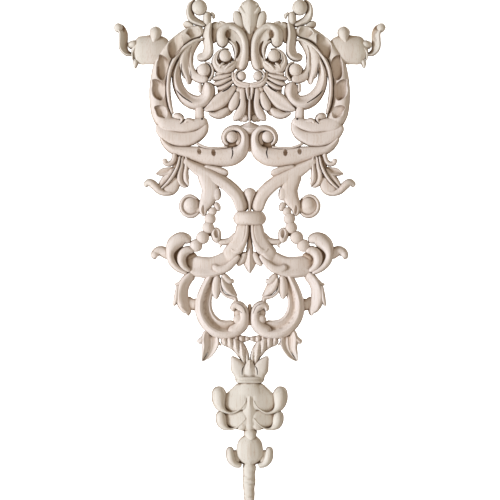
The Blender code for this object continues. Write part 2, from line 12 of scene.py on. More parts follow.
import bpy
import mathutils
import numpy as np
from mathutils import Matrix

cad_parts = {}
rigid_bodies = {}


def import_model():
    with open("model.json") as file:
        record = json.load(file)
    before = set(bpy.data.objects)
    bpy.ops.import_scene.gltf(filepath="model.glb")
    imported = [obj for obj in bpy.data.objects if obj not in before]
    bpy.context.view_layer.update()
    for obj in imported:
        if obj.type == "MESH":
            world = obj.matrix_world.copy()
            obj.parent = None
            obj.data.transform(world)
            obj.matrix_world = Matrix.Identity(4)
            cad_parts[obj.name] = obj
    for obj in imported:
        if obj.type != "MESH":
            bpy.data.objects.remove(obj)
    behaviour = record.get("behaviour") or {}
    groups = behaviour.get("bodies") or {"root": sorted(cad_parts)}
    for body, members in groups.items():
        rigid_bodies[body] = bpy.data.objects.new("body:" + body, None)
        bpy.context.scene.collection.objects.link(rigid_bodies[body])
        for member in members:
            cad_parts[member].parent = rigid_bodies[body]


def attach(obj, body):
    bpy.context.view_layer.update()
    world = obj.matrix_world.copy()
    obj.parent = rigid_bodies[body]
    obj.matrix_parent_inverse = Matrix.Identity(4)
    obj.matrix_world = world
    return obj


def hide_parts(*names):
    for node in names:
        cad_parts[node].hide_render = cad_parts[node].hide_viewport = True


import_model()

bl_info = {
    "name": "Carved Applique",
    "version": (1, 0, 0),
    "blender": (4, 5, 0),
    "location": "View3D > Sidebar > Applique",
    "description": "Builds a carved openwork wood applique and a plain studio for it",
    "category": "Add Mesh",
}

MM = 0.001
NODE = "applique"
PIECE = "carved_applique"

# Cross-sections as shares of the stroke's height, at even places from its left edge to its right edge.
ROUND = (0.50, 0.80, 0.93, 0.99, 1.0, 0.99, 0.93, 0.80, 0.50)
RIDGE = (0.50, 0.66, 0.77, 0.90, 1.0, 0.90, 0.77, 0.66, 0.50)
CREST = (0.56, 0.82, 0.89, 0.95, 1.0, 0.95, 0.89, 0.82, 0.56)
VEIN = (0.52, 0.88, 1.0, 0.88, 0.70, 0.88, 1.0, 0.88, 0.52)
SLAB = (0.62, 0.90, 0.97, 1.0, 1.0, 1.0, 0.97, 0.90, 0.62)
LEAN_LEFT = (0.52, 0.88, 1.0, 0.98, 0.92, 0.82, 0.72, 0.62, 0.42)
LEAN_RIGHT = LEAN_LEFT[::-1]
DISH_RIGHT = (0.48, 0.78, 0.74, 0.70, 0.70, 0.76, 0.90, 0.95, 0.54)
STEM = (0.44, 0.62, 0.86, 0.97, 1.0, 0.99, 0.98, 0.96, 0.74)
BELLY = (0.52, 0.78, 0.92, 1.0, 1.0, 0.96, 0.90, 0.82, 0.60)
GREAT = (0.50, 0.82, 0.96, 1.0, 1.0, 0.96, 0.90, 0.80, 0.54)
STEEP_RIGHT = (0.34, 0.42, 0.48, 0.58, 0.70, 0.86, 1.0, 0.98, 0.56)
SHELF = (0.50, 0.84, 0.85, 0.84, 0.83, 0.83, 0.85, 0.86, 0.46)
SCROLL = (0.46, 0.70, 0.84, 0.93, 0.98, 1.0, 0.95, 0.90, 0.60)
WING = (0.56, 0.94, 1.0, 0.97, 0.94, 0.92, 0.92, 0.88, 0.56)
LOWER = (0.52, 0.88, 0.98, 1.0, 0.64, 0.50, 0.56, 0.66, 0.48)
INNER = (0.44, 0.70, 0.92, 1.0, 0.97, 0.86, 0.72, 0.72, 0.48)
CUP = (0.44, 0.72, 0.88, 0.96, 0.99, 0.97, 0.95, 1.0, 0.66)
BANDED = (0.54, 0.78, 0.80, 0.80, 0.81, 0.86, 0.97, 1.0, 0.58)
BRANCH = (0.52, 0.84, 0.91, 0.94, 0.96, 1.0, 0.98, 0.74, 0.46)
BAND = (0.52, 0.90, 1.0, 0.98, 0.90, 0.98, 1.0, 0.90, 0.52)
PETAL = (0.62, 0.72, 0.78, 0.83, 0.88, 0.92, 0.96, 0.98, 0.96)


def crest():
    """The ridged leaf at the top, on its floor."""
    return (
        (CREST, (0, 182.6, 1.8, 12), (0, 191, 6.8, 13.8), (0, 200, 8.8, 15), (0, 207.6, 9.6, 16.2),
         (0, 213.4, 9.0, 16.4), (0, 218.2, 6.4, 14.6)),
        (SLAB, (0, 190, 6, 9.4), (0, 182, 4, 9), (0, 176, 2.4, 8)),
    )


def crest_side():
    """The lobes and leaf at the crest, and the crescent, bud and spurs on the great scroll's crown."""
    return (
        (ROUND, (3.4, 202.6, 2.2, 14), (7.4, 206.4, 3.4, 14.4), (10.2, 210.6, 2.2, 13.4)),
        (ROUND, (5.0, 211.6, 3.2, 15), (8.8, 213.2, 2.8, 14.4)),
        (SLAB, (8.4, 187.6, 3.0, 10.4), (11.2, 196, 4.8, 12), (13.6, 203.4, 3.9, 11.6),
         (15.0, 206.4, 1.4, 10)),
        (SLAB, (4, 185, 3.4, 9), (12, 194, 5, 9)),
        (LEAN_LEFT, (54.6, 217.8, 1.0, 10), (58.9, 212.4, 2.9, 13), (59.7, 204.8, 3.8, 13.6),
         (57.4, 198.8, 4.2, 13.6), (51.6, 195.4, 3.4, 13), (44, 192.4, 3.0, 12)),
        (ROUND, (42.4, 192, 3.8, 12.6), (42.4, 200, 4.3, 15), (41.4, 206.0, 3.4, 12.6)),
        (ROUND, (39.6, 204, 1.9, 11.4), (36.2, 202.8, 1.9, 11.4), (36.0, 199.0, 1.4, 10)),
        (LEAN_LEFT, (56.0, 190.4, 1.8, 10), (61, 192.4, 3.8, 11.6), (66.4, 194.8, 3.0, 10)),
    )


def arch():
    """The arched scroll beside the middle: its floor, outer band, inner rib and gripping thumb."""
    return (
        (SHELF, (11.4, 147.4, 4.2, 12), (8.6, 157, 6.8, 13.4), (8.3, 166, 7.9, 14),
         (9.6, 174.6, 8.8, 14.4), (13.4, 182.6, 9.0, 14.8), (19.6, 187.6, 8.0, 15), (26, 188, 6, 14)),
        (ROUND, (9.6, 147.4, 3.0, 12.6), (6.9, 152.6, 4.8, 14), (5.1, 160, 4.5, 14.8),
         (4.5, 168, 4.0, 15), (5.4, 176.4, 4.0, 15), (9.2, 184.0, 4.0, 15), (14.8, 189.0, 3.8, 15),
         (21.4, 190.2, 3.6, 14.8), (27.6, 187.6, 3.0, 14)),
        (ROUND, (15.4, 157.0, 1.3, 12.4), (13.9, 163, 1.7, 13.6), (14.2, 169, 1.8, 14),
         (17, 174, 1.8, 14), (21.4, 176.6, 1.3, 13)),
        (ROUND, (15.6, 191.6, 2.8, 14), (22.4, 190.4, 4.2, 15.6), (27.2, 184.4, 6.0, 17.4),
         (27.2, 176.4, 6.2, 17.0), (27.0, 170.0, 5.0, 13.6)),
        (ROUND, (24, 193.6, 2.2, 10.4), (28.2, 194.6, 2.0, 10.4), (30.6, 196.4, 1.4, 9)),
        (SLAB, (15, 193.0, 1.8, 11), (23, 192.4, 2.6, 11), (31, 191.0, 4.0, 10.6),
         (37.6, 192.0, 3.4, 10.6)),
    )


def hook():
    """The hooked leaf beside the arch: a narrow side blade and the blade that curls under the ball."""
    return (
        (LEAN_RIGHT, (33.4, 196, 4.4, 11), (34.8, 188, 5.4, 10.4), (36.0, 180, 4.4, 9.8),
         (36.6, 174.4, 2.2, 8.6)),
        (LEAN_RIGHT, (39.6, 196, 3.0, 13), (42.0, 187, 4.4, 15.4), (42.4, 180, 4.9, 16),
         (41.1, 171, 5.0, 15.6), (41.8, 164.4, 5.4, 15), (46.0, 160.8, 4.8, 13.6),
         (53.0, 160.6, 3.4, 10.6)),
    )


def eye():
    """The ring under the arch that holds the ball, with its floor and folds."""
    return (
        (CUP, (27.0, 168.4, 1.2, 13), (32, 165, 1.7, 14), (34.6, 160.4, 2.4, 14.4),
         (35.0, 154.8, 3.5, 14.6), (32.4, 150, 4.6, 14.4), (27.2, 147.6, 5.4, 14),
         (20.8, 148.8, 5.4, 13.6), (15.6, 152.6, 3.6, 13), (13.4, 157.2, 1.6, 12)),
        (ROUND, (20.6, 168.4, 0.8, 12.6), (25.6, 168.8, 1.0, 13.6), (29.8, 166.4, 1.1, 14),
         (31.9, 162, 1.2, 14), (31.2, 157.2, 1.0, 13.4)),
        (ROUND, (14.4, 156, 1.6, 13.4), (19, 153.4, 2.2, 15), (22.6, 150.0, 1.8, 15),
         (25.6, 146.4, 0.9, 13.8)),
        (ROUND, (25, 154.6, 1.6, 13.6), (28.6, 152.0, 2.2, 14.8), (31.4, 147.8, 1.4, 14)),
        (SLAB, (27, 168, 3.0, 9), (27, 162, 6.6, 9.4), (24.6, 155, 9.6, 9.4), (24.6, 150, 8, 9)),
    )


def corner_flower():
    """The bell flower on the outer corner: its broad bell, lobe, point and the petal that curls up."""
    return (
        (BELLY, (78, 167.6, 8.0, 10), (86, 168.4, 12.4, 12), (95, 168.0, 14.4, 14),
         (104, 167.6, 14.2, 14), (112, 166.8, 13.4, 13.2), (118.4, 166.6, 9.4, 11.6)),
        (ROUND, (112, 174.4, 4.4, 12.6), (117, 173.0, 4.0, 12.4), (122, 171.6, 3.6, 9.6)),
        (ROUND, (96.4, 173.6, 1.8, 12.4), (94.4, 180.6, 5.3, 14.8), (93.8, 186, 6.2, 14.8),
         (93.8, 191.2, 5.4, 12)),
        (ROUND, (113.2, 158, 3.2, 11.6), (114, 153.4, 2.4, 11), (114.3, 149.4, 0.9, 9.4)),
        (ROUND, (113.8, 170, 0.9, 12.4), (117.0, 164, 1.3, 12.6), (116.4, 157.4, 0.9, 11.6)),
        (STEEP_RIGHT, (117.4, 163.2, 1.6, 11), (122.8, 165, 3.2, 13), (126.2, 170, 4.3, 14.6),
         (126.2, 178, 4.5, 15), (126.4, 185, 4.4, 15), (129.6, 189.6, 4.2, 14.6),
         (134.8, 190.2, 3.0, 12)),
    )


def great_scroll():
    """The great C on the outside with its inner rim and the groove between them."""
    return (
        (GREAT, (45.6, 187, 6.2, 13), (57, 184.8, 6.5, 14), (65.4, 180.4, 6.6, 14),
         (72.8, 174.4, 6.9, 14.2), (79.8, 167.4, 7.3, 14.4), (85.2, 159, 7.6, 14.6),
         (88.9, 149, 7.9, 14.8), (91.0, 138, 8.1, 14.8), (91.8, 126, 8.4, 14.8), (91.2, 114, 8.6, 14.8),
         (88.6, 103.4, 9.2, 14.4), (83, 95.4, 9.4, 13.8), (76, 92, 8.0, 12.6)),
        (ROUND, (46.2, 178.6, 1.3, 13.4), (54, 176.6, 1.9, 15), (62, 171.8, 2.2, 15.4),
         (69.6, 165, 2.3, 15.6), (75.4, 156.6, 2.3, 15.6), (79.2, 147, 2.3, 15.6), (80.9, 136, 2.2, 15.6),
         (80.9, 124, 2.2, 15.6), (79.2, 112.6, 2.0, 15), (76.8, 103.6, 1.3, 13)),
        (SLAB, (71.6, 165.6, 3, 9), (75.6, 156, 3, 9.6), (77.4, 146, 2.6, 9.6), (77.8, 140.6, 1.4, 9.6)),
        (SLAB, (50, 182, 3, 7), (66, 173.4, 3.4, 7), (78, 158.4, 3.4, 7), (83.2, 140, 3.4, 7),
         (83.4, 122, 3.4, 7), (80, 103, 3.0, 7)),
    )


def crescent():
    """The crescent inside the great C, which widens to a broad end, with the step beside the opening."""
    return (
        (INNER, (65.4, 163.8, 1.8, 12), (70.4, 154, 3.2, 12.8), (73.0, 144, 4.5, 13.2),
         (72.2, 134.6, 5.3, 13.6), (68.8, 126, 6.0, 13.8), (62.6, 118.8, 6.9, 14),
         (54.6, 115.2, 7.3, 14.2), (46.8, 116.4, 6.8, 14.6), (42.2, 121.4, 7.2, 14.8),
         (42.0, 129, 7.4, 14.6), (44.4, 135.4, 5.6, 13.4)),
        (SLAB, (49.4, 134.6, 1.9, 11.6), (49.4, 125, 1.9, 11.6)),
    )


def hanging_leaf():
    """The broad leaf that hangs from the great C's crown, and the arm and ring round the inner ball."""
    return (
        (LEAN_LEFT, (49, 178.0, 1.6, 12), (56, 172.6, 4.4, 13), (62, 165, 6.8, 13.4),
         (64.2, 156, 8.0, 13), (62.8, 147, 6.2, 12.6), (60.8, 139.6, 4.0, 12), (60.6, 133.2, 1.8, 11)),
        (ROUND, (66.4, 150, 1.0, 12), (67.0, 144, 1.3, 12.2), (65, 139.6, 0.9, 11)),
        (SLAB, (70, 156, 4, 8), (68, 146, 4, 8)),
        (SLAB, (58.6, 166, 1.4, 10.4), (59.4, 157, 2.6, 10.8), (58.6, 148.6, 3.8, 11),
         (55.4, 142.4, 4.6, 11.6), (50, 139.4, 4.8, 12.6), (45.4, 138.4, 4.4, 13.2),
         (41.6, 136.8, 2.6, 12.8)),
        (ROUND, (44.8, 155.4, 0.9, 11), (39.6, 153.4, 1.5, 12.6), (36.9, 148, 1.6, 13),
         (37.4, 142, 1.7, 13), (41, 136.6, 1.5, 12.6)),
    )


def shell_cup():
    """The layered cup under the crescent: upper lip, lower layer and two knobs, with the post beside it."""
    return (
        (SLAB, (91, 97.4, 5.4, 13.4), (84, 93.6, 7.2, 14.4), (74, 92.6, 7.3, 14.4), (63, 91.2, 6.4, 14.4),
         (52, 93.8, 5.8, 14.4), (42.0, 97.4, 3.6, 13)),
        (SLAB, (43.6, 97, 2.4, 11), (45.4, 88.4, 4.4, 12.2), (51.6, 82.4, 6.0, 12.6),
         (62, 79.0, 7.8, 12.8), (74, 79.4, 7.8, 12.8), (84.4, 84, 7.0, 12.6), (93, 92.4, 3.4, 12)),
        (ROUND, (76.2, 100, 2.4, 13), (71.8, 101.4, 4.0, 15.8), (67.4, 99, 2.8, 15),
         (68.8, 93.6, 1.6, 14.4)),
        (ROUND, (64.8, 93.0, 2.2, 14.4), (62.6, 96.8, 3.0, 15), (57.8, 96.4, 2.8, 14.6),
         (53.6, 95, 1.6, 14)),
        (SLAB, (50.0, 114, 5.8, 10.4), (50.0, 107, 4.5, 10.8), (49.8, 101, 4.7, 10.8),
         (49.6, 95, 5.4, 10.8)),
    )


def tulip():
    """The tulip on the middle line, on its floor, with the calyx and the seams of the two scroll pairs."""
    return (
        (SLAB, (0, 132, 8, 6.5), (0, 115, 7, 6.5), (0, 97, 4.6, 6.5)),
        (VEIN, (0, 133, 6.8, 12.8), (0, 125, 4.6, 13.4), (0, 117, 2.2, 13.4)),
        (RIDGE, (0, 122, 1.2, 13), (0, 112, 1.9, 14), (0, 103, 1.7, 14), (0, 95, 1.0, 13)),
        (RIDGE, (-10.8, 90.6, 1.2, 10.6), (-5.4, 89.8, 4.6, 13.4), (0, 89.2, 7.0, 15.4),
         (5.4, 89.8, 4.6, 13.4), (10.8, 90.6, 1.2, 10.6)),
        (SLAB, (0, 87, 2.4, 8), (0, 66, 2.0, 8)),
        (SLAB, (0, 184, 2.6, 8), (0, 156.6, 1.9, 8)),
        (SLAB, (0, -85.8, 2.0, 8), (0, -107.6, 1.9, 8)),
    )


def fan_leaves():
    """The fringe of plump leaves, the wing and skirt leaves under it, and the yoke above the tulip."""
    return (
        (ROUND, (34.8, 143.2, 1.8, 11.6), (30, 144, 2.2, 12.2), (25.6, 144.8, 1.4, 12)),
        (ROUND, (37.4, 138.4, 1.6, 11.6), (31, 140.0, 3.2, 13), (24, 141.2, 2.7, 13.2),
         (17.8, 143.4, 1.2, 12)),
        (ROUND, (36.4, 133.6, 1.8, 11.6), (30.4, 134.4, 2.9, 13), (23.4, 137.2, 2.5, 13.4),
         (16.8, 140.4, 1.2, 12)),
        (ROUND, (32.6, 129.2, 1.5, 11.2), (27.4, 129.6, 2.7, 12.8), (21.4, 132.8, 2.4, 13.2),
         (15.8, 136.8, 1.2, 12)),
        (SLAB, (35, 134, 6, 8), (26, 136, 7, 8), (17, 139, 4, 8)),
        (WING, (14.0, 131.6, 2.2, 12), (19.8, 126.0, 5.2, 13.2), (26.4, 119.6, 7.2, 13.8),
         (33.2, 114.2, 7.2, 13.4), (39.8, 109.8, 4.4, 12.4), (45.4, 107.4, 1.4, 11)),
        (ROUND, (20.4, 109.4, 2.4, 11), (26.6, 104.6, 4.8, 12), (33.4, 102.6, 3.6, 11.6),
         (41.4, 104.8, 1.2, 10.4)),
        (SLAB, (12.0, 126, 2.2, 12.4), (13.8, 119.4, 4.3, 13.2), (16.4, 112.8, 5.0, 13.2),
         (19.6, 107.0, 2.6, 12)),
        (SLAB, (7.4, 130, 3.2, 12), (7.4, 120, 3.9, 12.6), (7.3, 112, 3.9, 12.6), (9.8, 105.0, 4.8, 12.4),
         (13.6, 100, 3.8, 11.6), (16.4, 97.2, 1.4, 10)),
        (SLAB, (11, 131, 4, 11.4), (10.6, 124, 3.4, 11)),
        (SLAB, (3.6, 103, 3.4, 9), (6.6, 96, 4.6, 9)),
        (SLAB, (10, 124, 5, 6.5), (8, 108, 6, 6.5), (8.4, 96, 3.4, 8.4)),
        (SLAB, (21, 130.4, 4, 8), (32, 125, 4, 8)),
        (SLAB, (17, 126, 3, 7), (21, 116, 4, 7), (26, 108, 5, 7), (36, 106, 4, 7)),
        (SLAB, (16, 118, 3, 8), (19.6, 107, 3, 8), (24, 103, 2.6, 8)),
        (ROUND, (8.2, 147.8, 0.9, 11), (12.6, 146, 1.4, 13), (14.6, 141.6, 1.6, 13.6),
         (12.6, 137, 1.8, 14), (7.6, 134.4, 1.9, 14), (-1.0, 133.0, 1.7, 14)),
        (ROUND, (16.8, 146, 1.4, 11.6), (16.4, 139.4, 2.4, 12.6), (12.4, 134, 3.2, 13),
         (6.4, 131.8, 3.0, 13), (-1, 131.4, 2.7, 13)),
    )


def upper_scroll():
    """The scroll that closes the upper opening and curls round its ball, with the strip along its top."""
    return (
        (SCROLL, (89, 80, 1.6, 12), (84.6, 74, 3.2, 12.2), (78, 68.6, 4.2, 12.6), (70.4, 66.6, 5.0, 12.8),
         (60.6, 64.6, 7.0, 13), (50.4, 63.0, 8.4, 13.2), (39.6, 61.0, 9.6, 13.4), (28, 60.6, 9.7, 13.6),
         (17.0, 61.6, 9.2, 14), (8.8, 66.2, 7.2, 14.8), (5.0, 74, 4.8, 15.2), (5.0, 82.4, 4.1, 15.2),
         (9.2, 88.4, 3.5, 15.2), (16, 89.8, 3.1, 15), (22.2, 87.4, 3.0, 14.6), (25.7, 82, 2.8, 14.2),
         (25.4, 76.4, 2.4, 13.4), (21.6, 72.4, 1.6, 12)),
        (ROUND, (22, 70.8, 1.2, 13.6), (32, 69.8, 1.3, 14), (42, 70.0, 1.4, 14.2), (48, 71.8, 1.5, 13.8),
         (53.4, 74.8, 1.4, 12.4)),
        (SLAB, (24, 70, 4, 8), (16.5, 79.6, 9.4, 8), (15, 87, 6, 8)),
        (SLAB, (12, 72, 2.6, 10.4), (10.6, 80, 2.8, 11), (13.6, 85.8, 2.2, 10.4)),
        (LEAN_RIGHT, (46, 50.6, 3.2, 11), (36, 48.2, 4.2, 11.6), (28, 45.8, 4.6, 11.6),
         (21.0, 44.0, 3.2, 10.4)),
    )


def side_flower():
    """The flower on the outside of the upper stem: straight, low, middle, pointed and hooked petals."""
    return (
        (VEIN, (65, 62, 3.6, 12), (65.6, 51, 4.9, 12.6), (67.0, 43, 6.2, 12.8), (66.2, 36.6, 6.2, 12.2),
         (61.6, 31.0, 2.6, 10.6)),
        (ROUND, (69.4, 61.6, 1.2, 12.4), (71.6, 52, 1.8, 13.6), (75.6, 43.6, 2.0, 14),
         (81, 36, 1.9, 13.6), (88.4, 28.8, 1.3, 12.4)),
        (SLAB, (74.4, 41, 3.0, 10.4), (75.0, 34, 5.6, 11), (79, 28.8, 6.4, 11.4), (87, 27, 4.6, 11.4)),
        (ROUND, (77, 25.4, 2.2, 11.6), (84, 24.8, 3.0, 12.8), (90, 27.2, 3.8, 13.8),
         (94.2, 31.4, 4.1, 14.6), (98.4, 34.8, 4.2, 14.6), (102.4, 34.4, 3.6, 13),
         (104.2, 30.8, 1.6, 11)),
        (SLAB, (69.6, 62, 5.4, 9), (72, 54, 5.0, 8), (73, 46, 5, 8), (80, 36, 5, 8)),
        (ROUND, (76.6, 49, 2.0, 11), (81.6, 42, 3.6, 11.4), (87.0, 35.6, 3.2, 11.4),
         (90.6, 30, 1.8, 11)),
        (DISH_RIGHT, (76.0, 50.4, 1.6, 11), (81, 47, 3.9, 11.8), (86.6, 45.6, 4.2, 12),
         (93.6, 43.8, 1.0, 10)),
        (ROUND, (75, 65, 2.8, 11), (75.2, 59.8, 2.8, 11.6), (77.6, 55.2, 2.8, 12.2),
         (81.8, 53.8, 2.6, 12.6), (85.2, 55.6, 2.2, 12.6), (85.0, 59.4, 1.5, 11)),
    )


def upper_stem():
    """The upper stem, the broad branch that drops from it with its lobes, and the side volute."""
    return (
        (STEM, (7.2, 5, 6.4, 12.6), (8.4, 13, 6.8, 13.4), (11.8, 21.6, 7.0, 13.6),
         (18.2, 29.2, 6.8, 13.6), (27.4, 36.4, 6.6, 13.6), (38.4, 42.4, 7.1, 13.4),
         (48.4, 47.5, 7.1, 13.2), (58, 53.3, 5.3, 12.6), (66, 59, 3.4, 12)),
        (SLAB, (49, 47, 6.4, 13), (42.4, 38, 8.6, 13.4), (39.2, 28, 8.8, 13.2), (41.6, 19, 7.8, 13),
         (46.0, 10, 5.4, 12.6), (46.2, 1.6, 2.2, 11.4)),
        (SLAB, (33.6, 31, 3.6, 12.6), (33.2, 24, 4.8, 12.8), (33.4, 17.2, 4.4, 12.4)),
        (ROUND, (35.0, 15.4, 3.0, 10.8), (32.2, 11.0, 3.4, 11.4), (31.0, 6.6, 2.2, 10)),
        (ROUND, (45, 12, 3.6, 9.6), (50.6, 8.6, 4.4, 9.6), (55, 6, 3, 9.6)),
        (ROUND, (50.8, 5.4, 1.4, 10), (55.4, 2.3, 2.1, 11.4), (61.8, 2.3, 2.3, 12),
         (67.3, 7.1, 2.4, 12.6), (68.3, 13.6, 2.3, 12.6), (64.6, 20.3, 2.0, 12), (58.4, 21.9, 1.9, 11.6),
         (52.4, 18.6, 1.4, 10)),
    )


def middle():
    """The collar, the bud above it, and the pendant with its stalk below it."""
    return (
        (SLAB, (-16.6, -0.2, 5.8, 10), (-12.4, -0.3, 6.9, 14.6), (0, -0.4, 7.1, 18),
         (12.4, -0.3, 6.9, 14.6), (16.6, -0.2, 5.8, 10)),
        (ROUND, (0, 4, 2.0, 10), (0, 14, 2.2, 10), (0, 20.6, 4.6, 11.4), (0, 25.4, 6.4, 12),
         (0, 30.6, 4.8, 10)),
        (ROUND, (0, -5, 1.6, 8), (0, -20, 2.2, 8), (0, -34, 4.4, 9)),
        (RIDGE, (0, -29, 2.2, 10), (0, -38, 5.6, 11.8), (0, -46, 6.2, 11.8), (0, -55.6, 0.8, 8.6)),
    )


def pendant_side():
    """The small leaf on each side of the pendant."""
    return ((ROUND, (3.4, -34, 3.2, 10.4), (7.8, -42, 4.0, 11), (12.2, -47.8, 1.9, 9.4)),)


def lower_stem():
    """The lower stem with its two lapped tongues and the stalk and bud that grow from its inside."""
    return (
        (BANDED, (18.0, -36.2, 8.4, 13), (27.2, -45.2, 10, 13.4), (38.4, -49.2, 10.5, 13.4),
         (48, -49.0, 10.7, 13.2), (56, -47.6, 10.2, 11), (64, -45.0, 8.6, 7.6)),
        (BRANCH, (6.9, -4, 6.3, 13), (8.0, -15, 6.9, 13.8), (11.8, -25.6, 8.2, 13.8),
         (18.4, -36.0, 9.0, 13.4), (25, -42.4, 8.6, 12)),
        (SLAB, (2.6, -6, 1.9, 13.4), (3.6, -17, 2.3, 14), (6.6, -26, 3.0, 14.4), (11.4, -32.6, 4.0, 14.4),
         (15.4, -33.2, 2.6, 13.8), (19.0, -30.2, 0.9, 13)),
        (SLAB, (10.2, -37.0, 2.2, 13), (16.8, -44.6, 3.6, 14), (24.4, -50.4, 4.4, 14.4),
         (31.8, -51, 4.4, 14.2), (37.0, -47.2, 2.8, 13.6)),
        (ROUND, (13, -15, 2.2, 10), (19.6, -22.8, 3.6, 10.4), (26.0, -24.0, 3.4, 10.4),
         (32, -23.6, 2.8, 10)),
        (ROUND, (33.6, -9.2, 3.8, 11.6), (33.6, -16, 5.4, 14), (32.4, -25, 3.6, 11.6)),
        (ROUND, (27.4, -24.6, 1.7, 9.6), (29.8, -29.8, 0.8, 8)),
    )


def curl():
    """The curl at the end of the lower stem, the arc inside it and the finger outside it."""
    return (
        (ROUND, (62, -55.4, 2.2, 12), (70.4, -51.2, 3.2, 13.8), (77, -44.6, 3.9, 15),
         (79.4, -36, 4.4, 16.2), (76, -26.6, 7.2, 16.6), (69, -21.4, 7.4, 16.6), (63, -21.4, 5.8, 15.4),
         (59.4, -24.6, 3.0, 13.4)),
        (ROUND, (55.6, -33.2, 2.6, 13.2), (61.2, -32.2, 4.7, 14.6), (66.6, -35.8, 5.2, 15.2),
         (68.2, -42.6, 4.8, 15), (65.2, -49.2, 3.9, 13.8), (59, -53.4, 2.4, 12)),
        (SLAB, (60, -52, 4, 7), (70, -42, 8, 7), (69, -28, 8, 7)),
        (SLAB, (56, -34, 6, 6.5), (60, -45, 6, 6.5)),
        (ROUND, (79, -39.6, 4.8, 10), (85.2, -34.2, 5.4, 11.4), (90.2, -32.8, 4.9, 11.6),
         (94.8, -36.2, 4.0, 11.4), (95.6, -41.4, 2.0, 9.5)),
    )


def drops():
    """The hooked leaf, its blade and the small drop that hang under the lower stem."""
    return (
        (ROUND, (27, -56, 3.6, 11), (22.6, -61.6, 3.9, 11.8), (18.6, -63.2, 3.4, 11.4),
         (16.0, -61.4, 1.6, 10)),
        (LEAN_LEFT, (27, -59, 2.4, 12.2), (24, -66, 5.2, 12.6), (19.4, -72.4, 5.0, 12.2),
         (12.6, -78.4, 1.0, 10)),
        (ROUND, (29.4, -64, 1.1, 10), (28.4, -72.4, 1.5, 10.4), (23.4, -77.8, 1.6, 10.4),
         (14.4, -80.4, 2.6, 10.6), (14.2, -85, 2.2, 10.6)),
        (ROUND, (32.0, -57, 3.6, 11.4), (33.4, -66, 5.0, 12), (33.6, -74.6, 4.6, 11.8),
         (33.2, -81.2, 1.5, 9.6)),
    )


def loop():
    """The leafy loop outside the lower scroll, with its neck, fin, spur and toe."""
    return (
        (LEAN_LEFT, (56, -55, 5.0, 11.4), (63.4, -62.8, 5.6, 12), (67.0, -71, 6.0, 12.4),
         (67.6, -79.4, 6.6, 12.4), (65.4, -87.2, 6.2, 12), (61.8, -93.2, 3.8, 10.6),
         (61.4, -97.8, 0.9, 8)),
        (ROUND, (66, -85.0, 7.0, 6.4), (61.6, -85.4, 7.6, 6.8), (57.0, -86.4, 5.7, 7.4),
         (52.6, -86.6, 7.4, 8), (48, -87, 9.0, 8)),
        (SLAB, (62, -53.6, 3.4, 9.6), (54, -56, 3.4, 9.6)),
        (ROUND, (71.6, -66.8, 1.6, 11), (72.6, -75, 2.5, 12.4), (73.6, -82, 2.6, 12),
         (75.8, -88, 1.2, 9)),
        (ROUND, (67, -62, 2.2, 10), (71.4, -66, 2.0, 10), (75.2, -66.2, 0.9, 8)),
        (ROUND, (69.6, -86.4, 2.2, 12), (66.4, -91, 2.9, 12.4), (61.8, -94.4, 2.2, 11)),
    )


def lower_scroll():
    """The lower scroll with its volute, the curl and tongue inside it, and the floor they stand on."""
    return (
        (LOWER, (34.6, -54, 5.6, 11), (39.6, -64.4, 6.8, 12.4), (43.6, -74, 7.4, 13.4),
         (46.0, -84, 8.2, 14), (45.4, -94, 8.9, 14), (40.8, -103.2, 9.2, 14), (33, -109.6, 9.4, 14),
         (23.6, -111.8, 9.6, 13.8), (14.8, -110.2, 9.0, 13.4), (8.6, -105.4, 6.6, 12.6)),
        (ROUND, (22, -113.6, 5.6, 13), (13.4, -111.4, 6.6, 13.6), (7.6, -106, 6.6, 14.2),
         (5.6, -99, 5.4, 15), (6.6, -92, 5.2, 15.6), (11.4, -87.4, 5.0, 15.4), (16.0, -88.4, 3.8, 14.4),
         (17.2, -93.4, 1.8, 13)),
        (SLAB, (14, -105.6, 5.0, 12.4), (11.4, -100, 5.2, 13.2), (12.2, -95.4, 4.8, 13)),
        (SLAB, (6, -106, 5, 8), (9.4, -96, 6.8, 11), (13.4, -89, 4, 11)),
    )


def tail():
    """The forked tail that runs off the lower scroll."""
    return (
        (LEAN_LEFT, (42.4, -112, 3.4, 11), (44.0, -120.6, 4.6, 12), (43.8, -128.6, 4.0, 12),
         (45.6, -136, 2.6, 11), (47.6, -143, 0.8, 9)),
        (ROUND, (44.6, -118, 2.4, 11), (48.6, -122.4, 3.0, 12), (52.6, -123.8, 2.3, 10.5)),
        (DISH_RIGHT, (35.4, -117, 3.6, 10), (34.8, -124.8, 4.5, 10.6), (36.6, -131.3, 3.5, 10.4),
         (40.6, -137.6, 2.5, 9.8), (46.4, -142.6, 0.8, 8.5)),
        (ROUND, (33, -122.6, 1.8, 9.5), (28.4, -127.6, 0.9, 8)),
        (SLAB, (40, -117, 5, 7.5), (40.4, -127, 4.6, 7.5), (43.4, -135, 3, 7.5)),
    )


def cup_petals():
    """The petals that hold the foot of the ropes."""
    return ((SLAB, (8.2, -164, 5.6, 13.2), (9.0, -156, 6.8, 14), (11.4, -149.6, 7.8, 14.8),
             (14.6, -143.6, 5.2, 14.4), (18.2, -138.2, 1.4, 12.6)),)


def neck():
    """The middle petal and the grooved band round the neck."""
    return (
        (CREST, (0, -164, 9.0, 14), (0, -156, 9.0, 15.2), (0, -150.4, 7.6, 15.8), (0, -145, 4.4, 15.2),
         (0, -140.8, 1.0, 13.4)),
        (BAND, (-14.6, -161.2, 3.2, 9), (-10.4, -161.2, 3.8, 14.4), (0, -161.2, 3.9, 17),
         (10.4, -161.2, 3.8, 14.4), (14.6, -161.2, 3.2, 9)),
    )


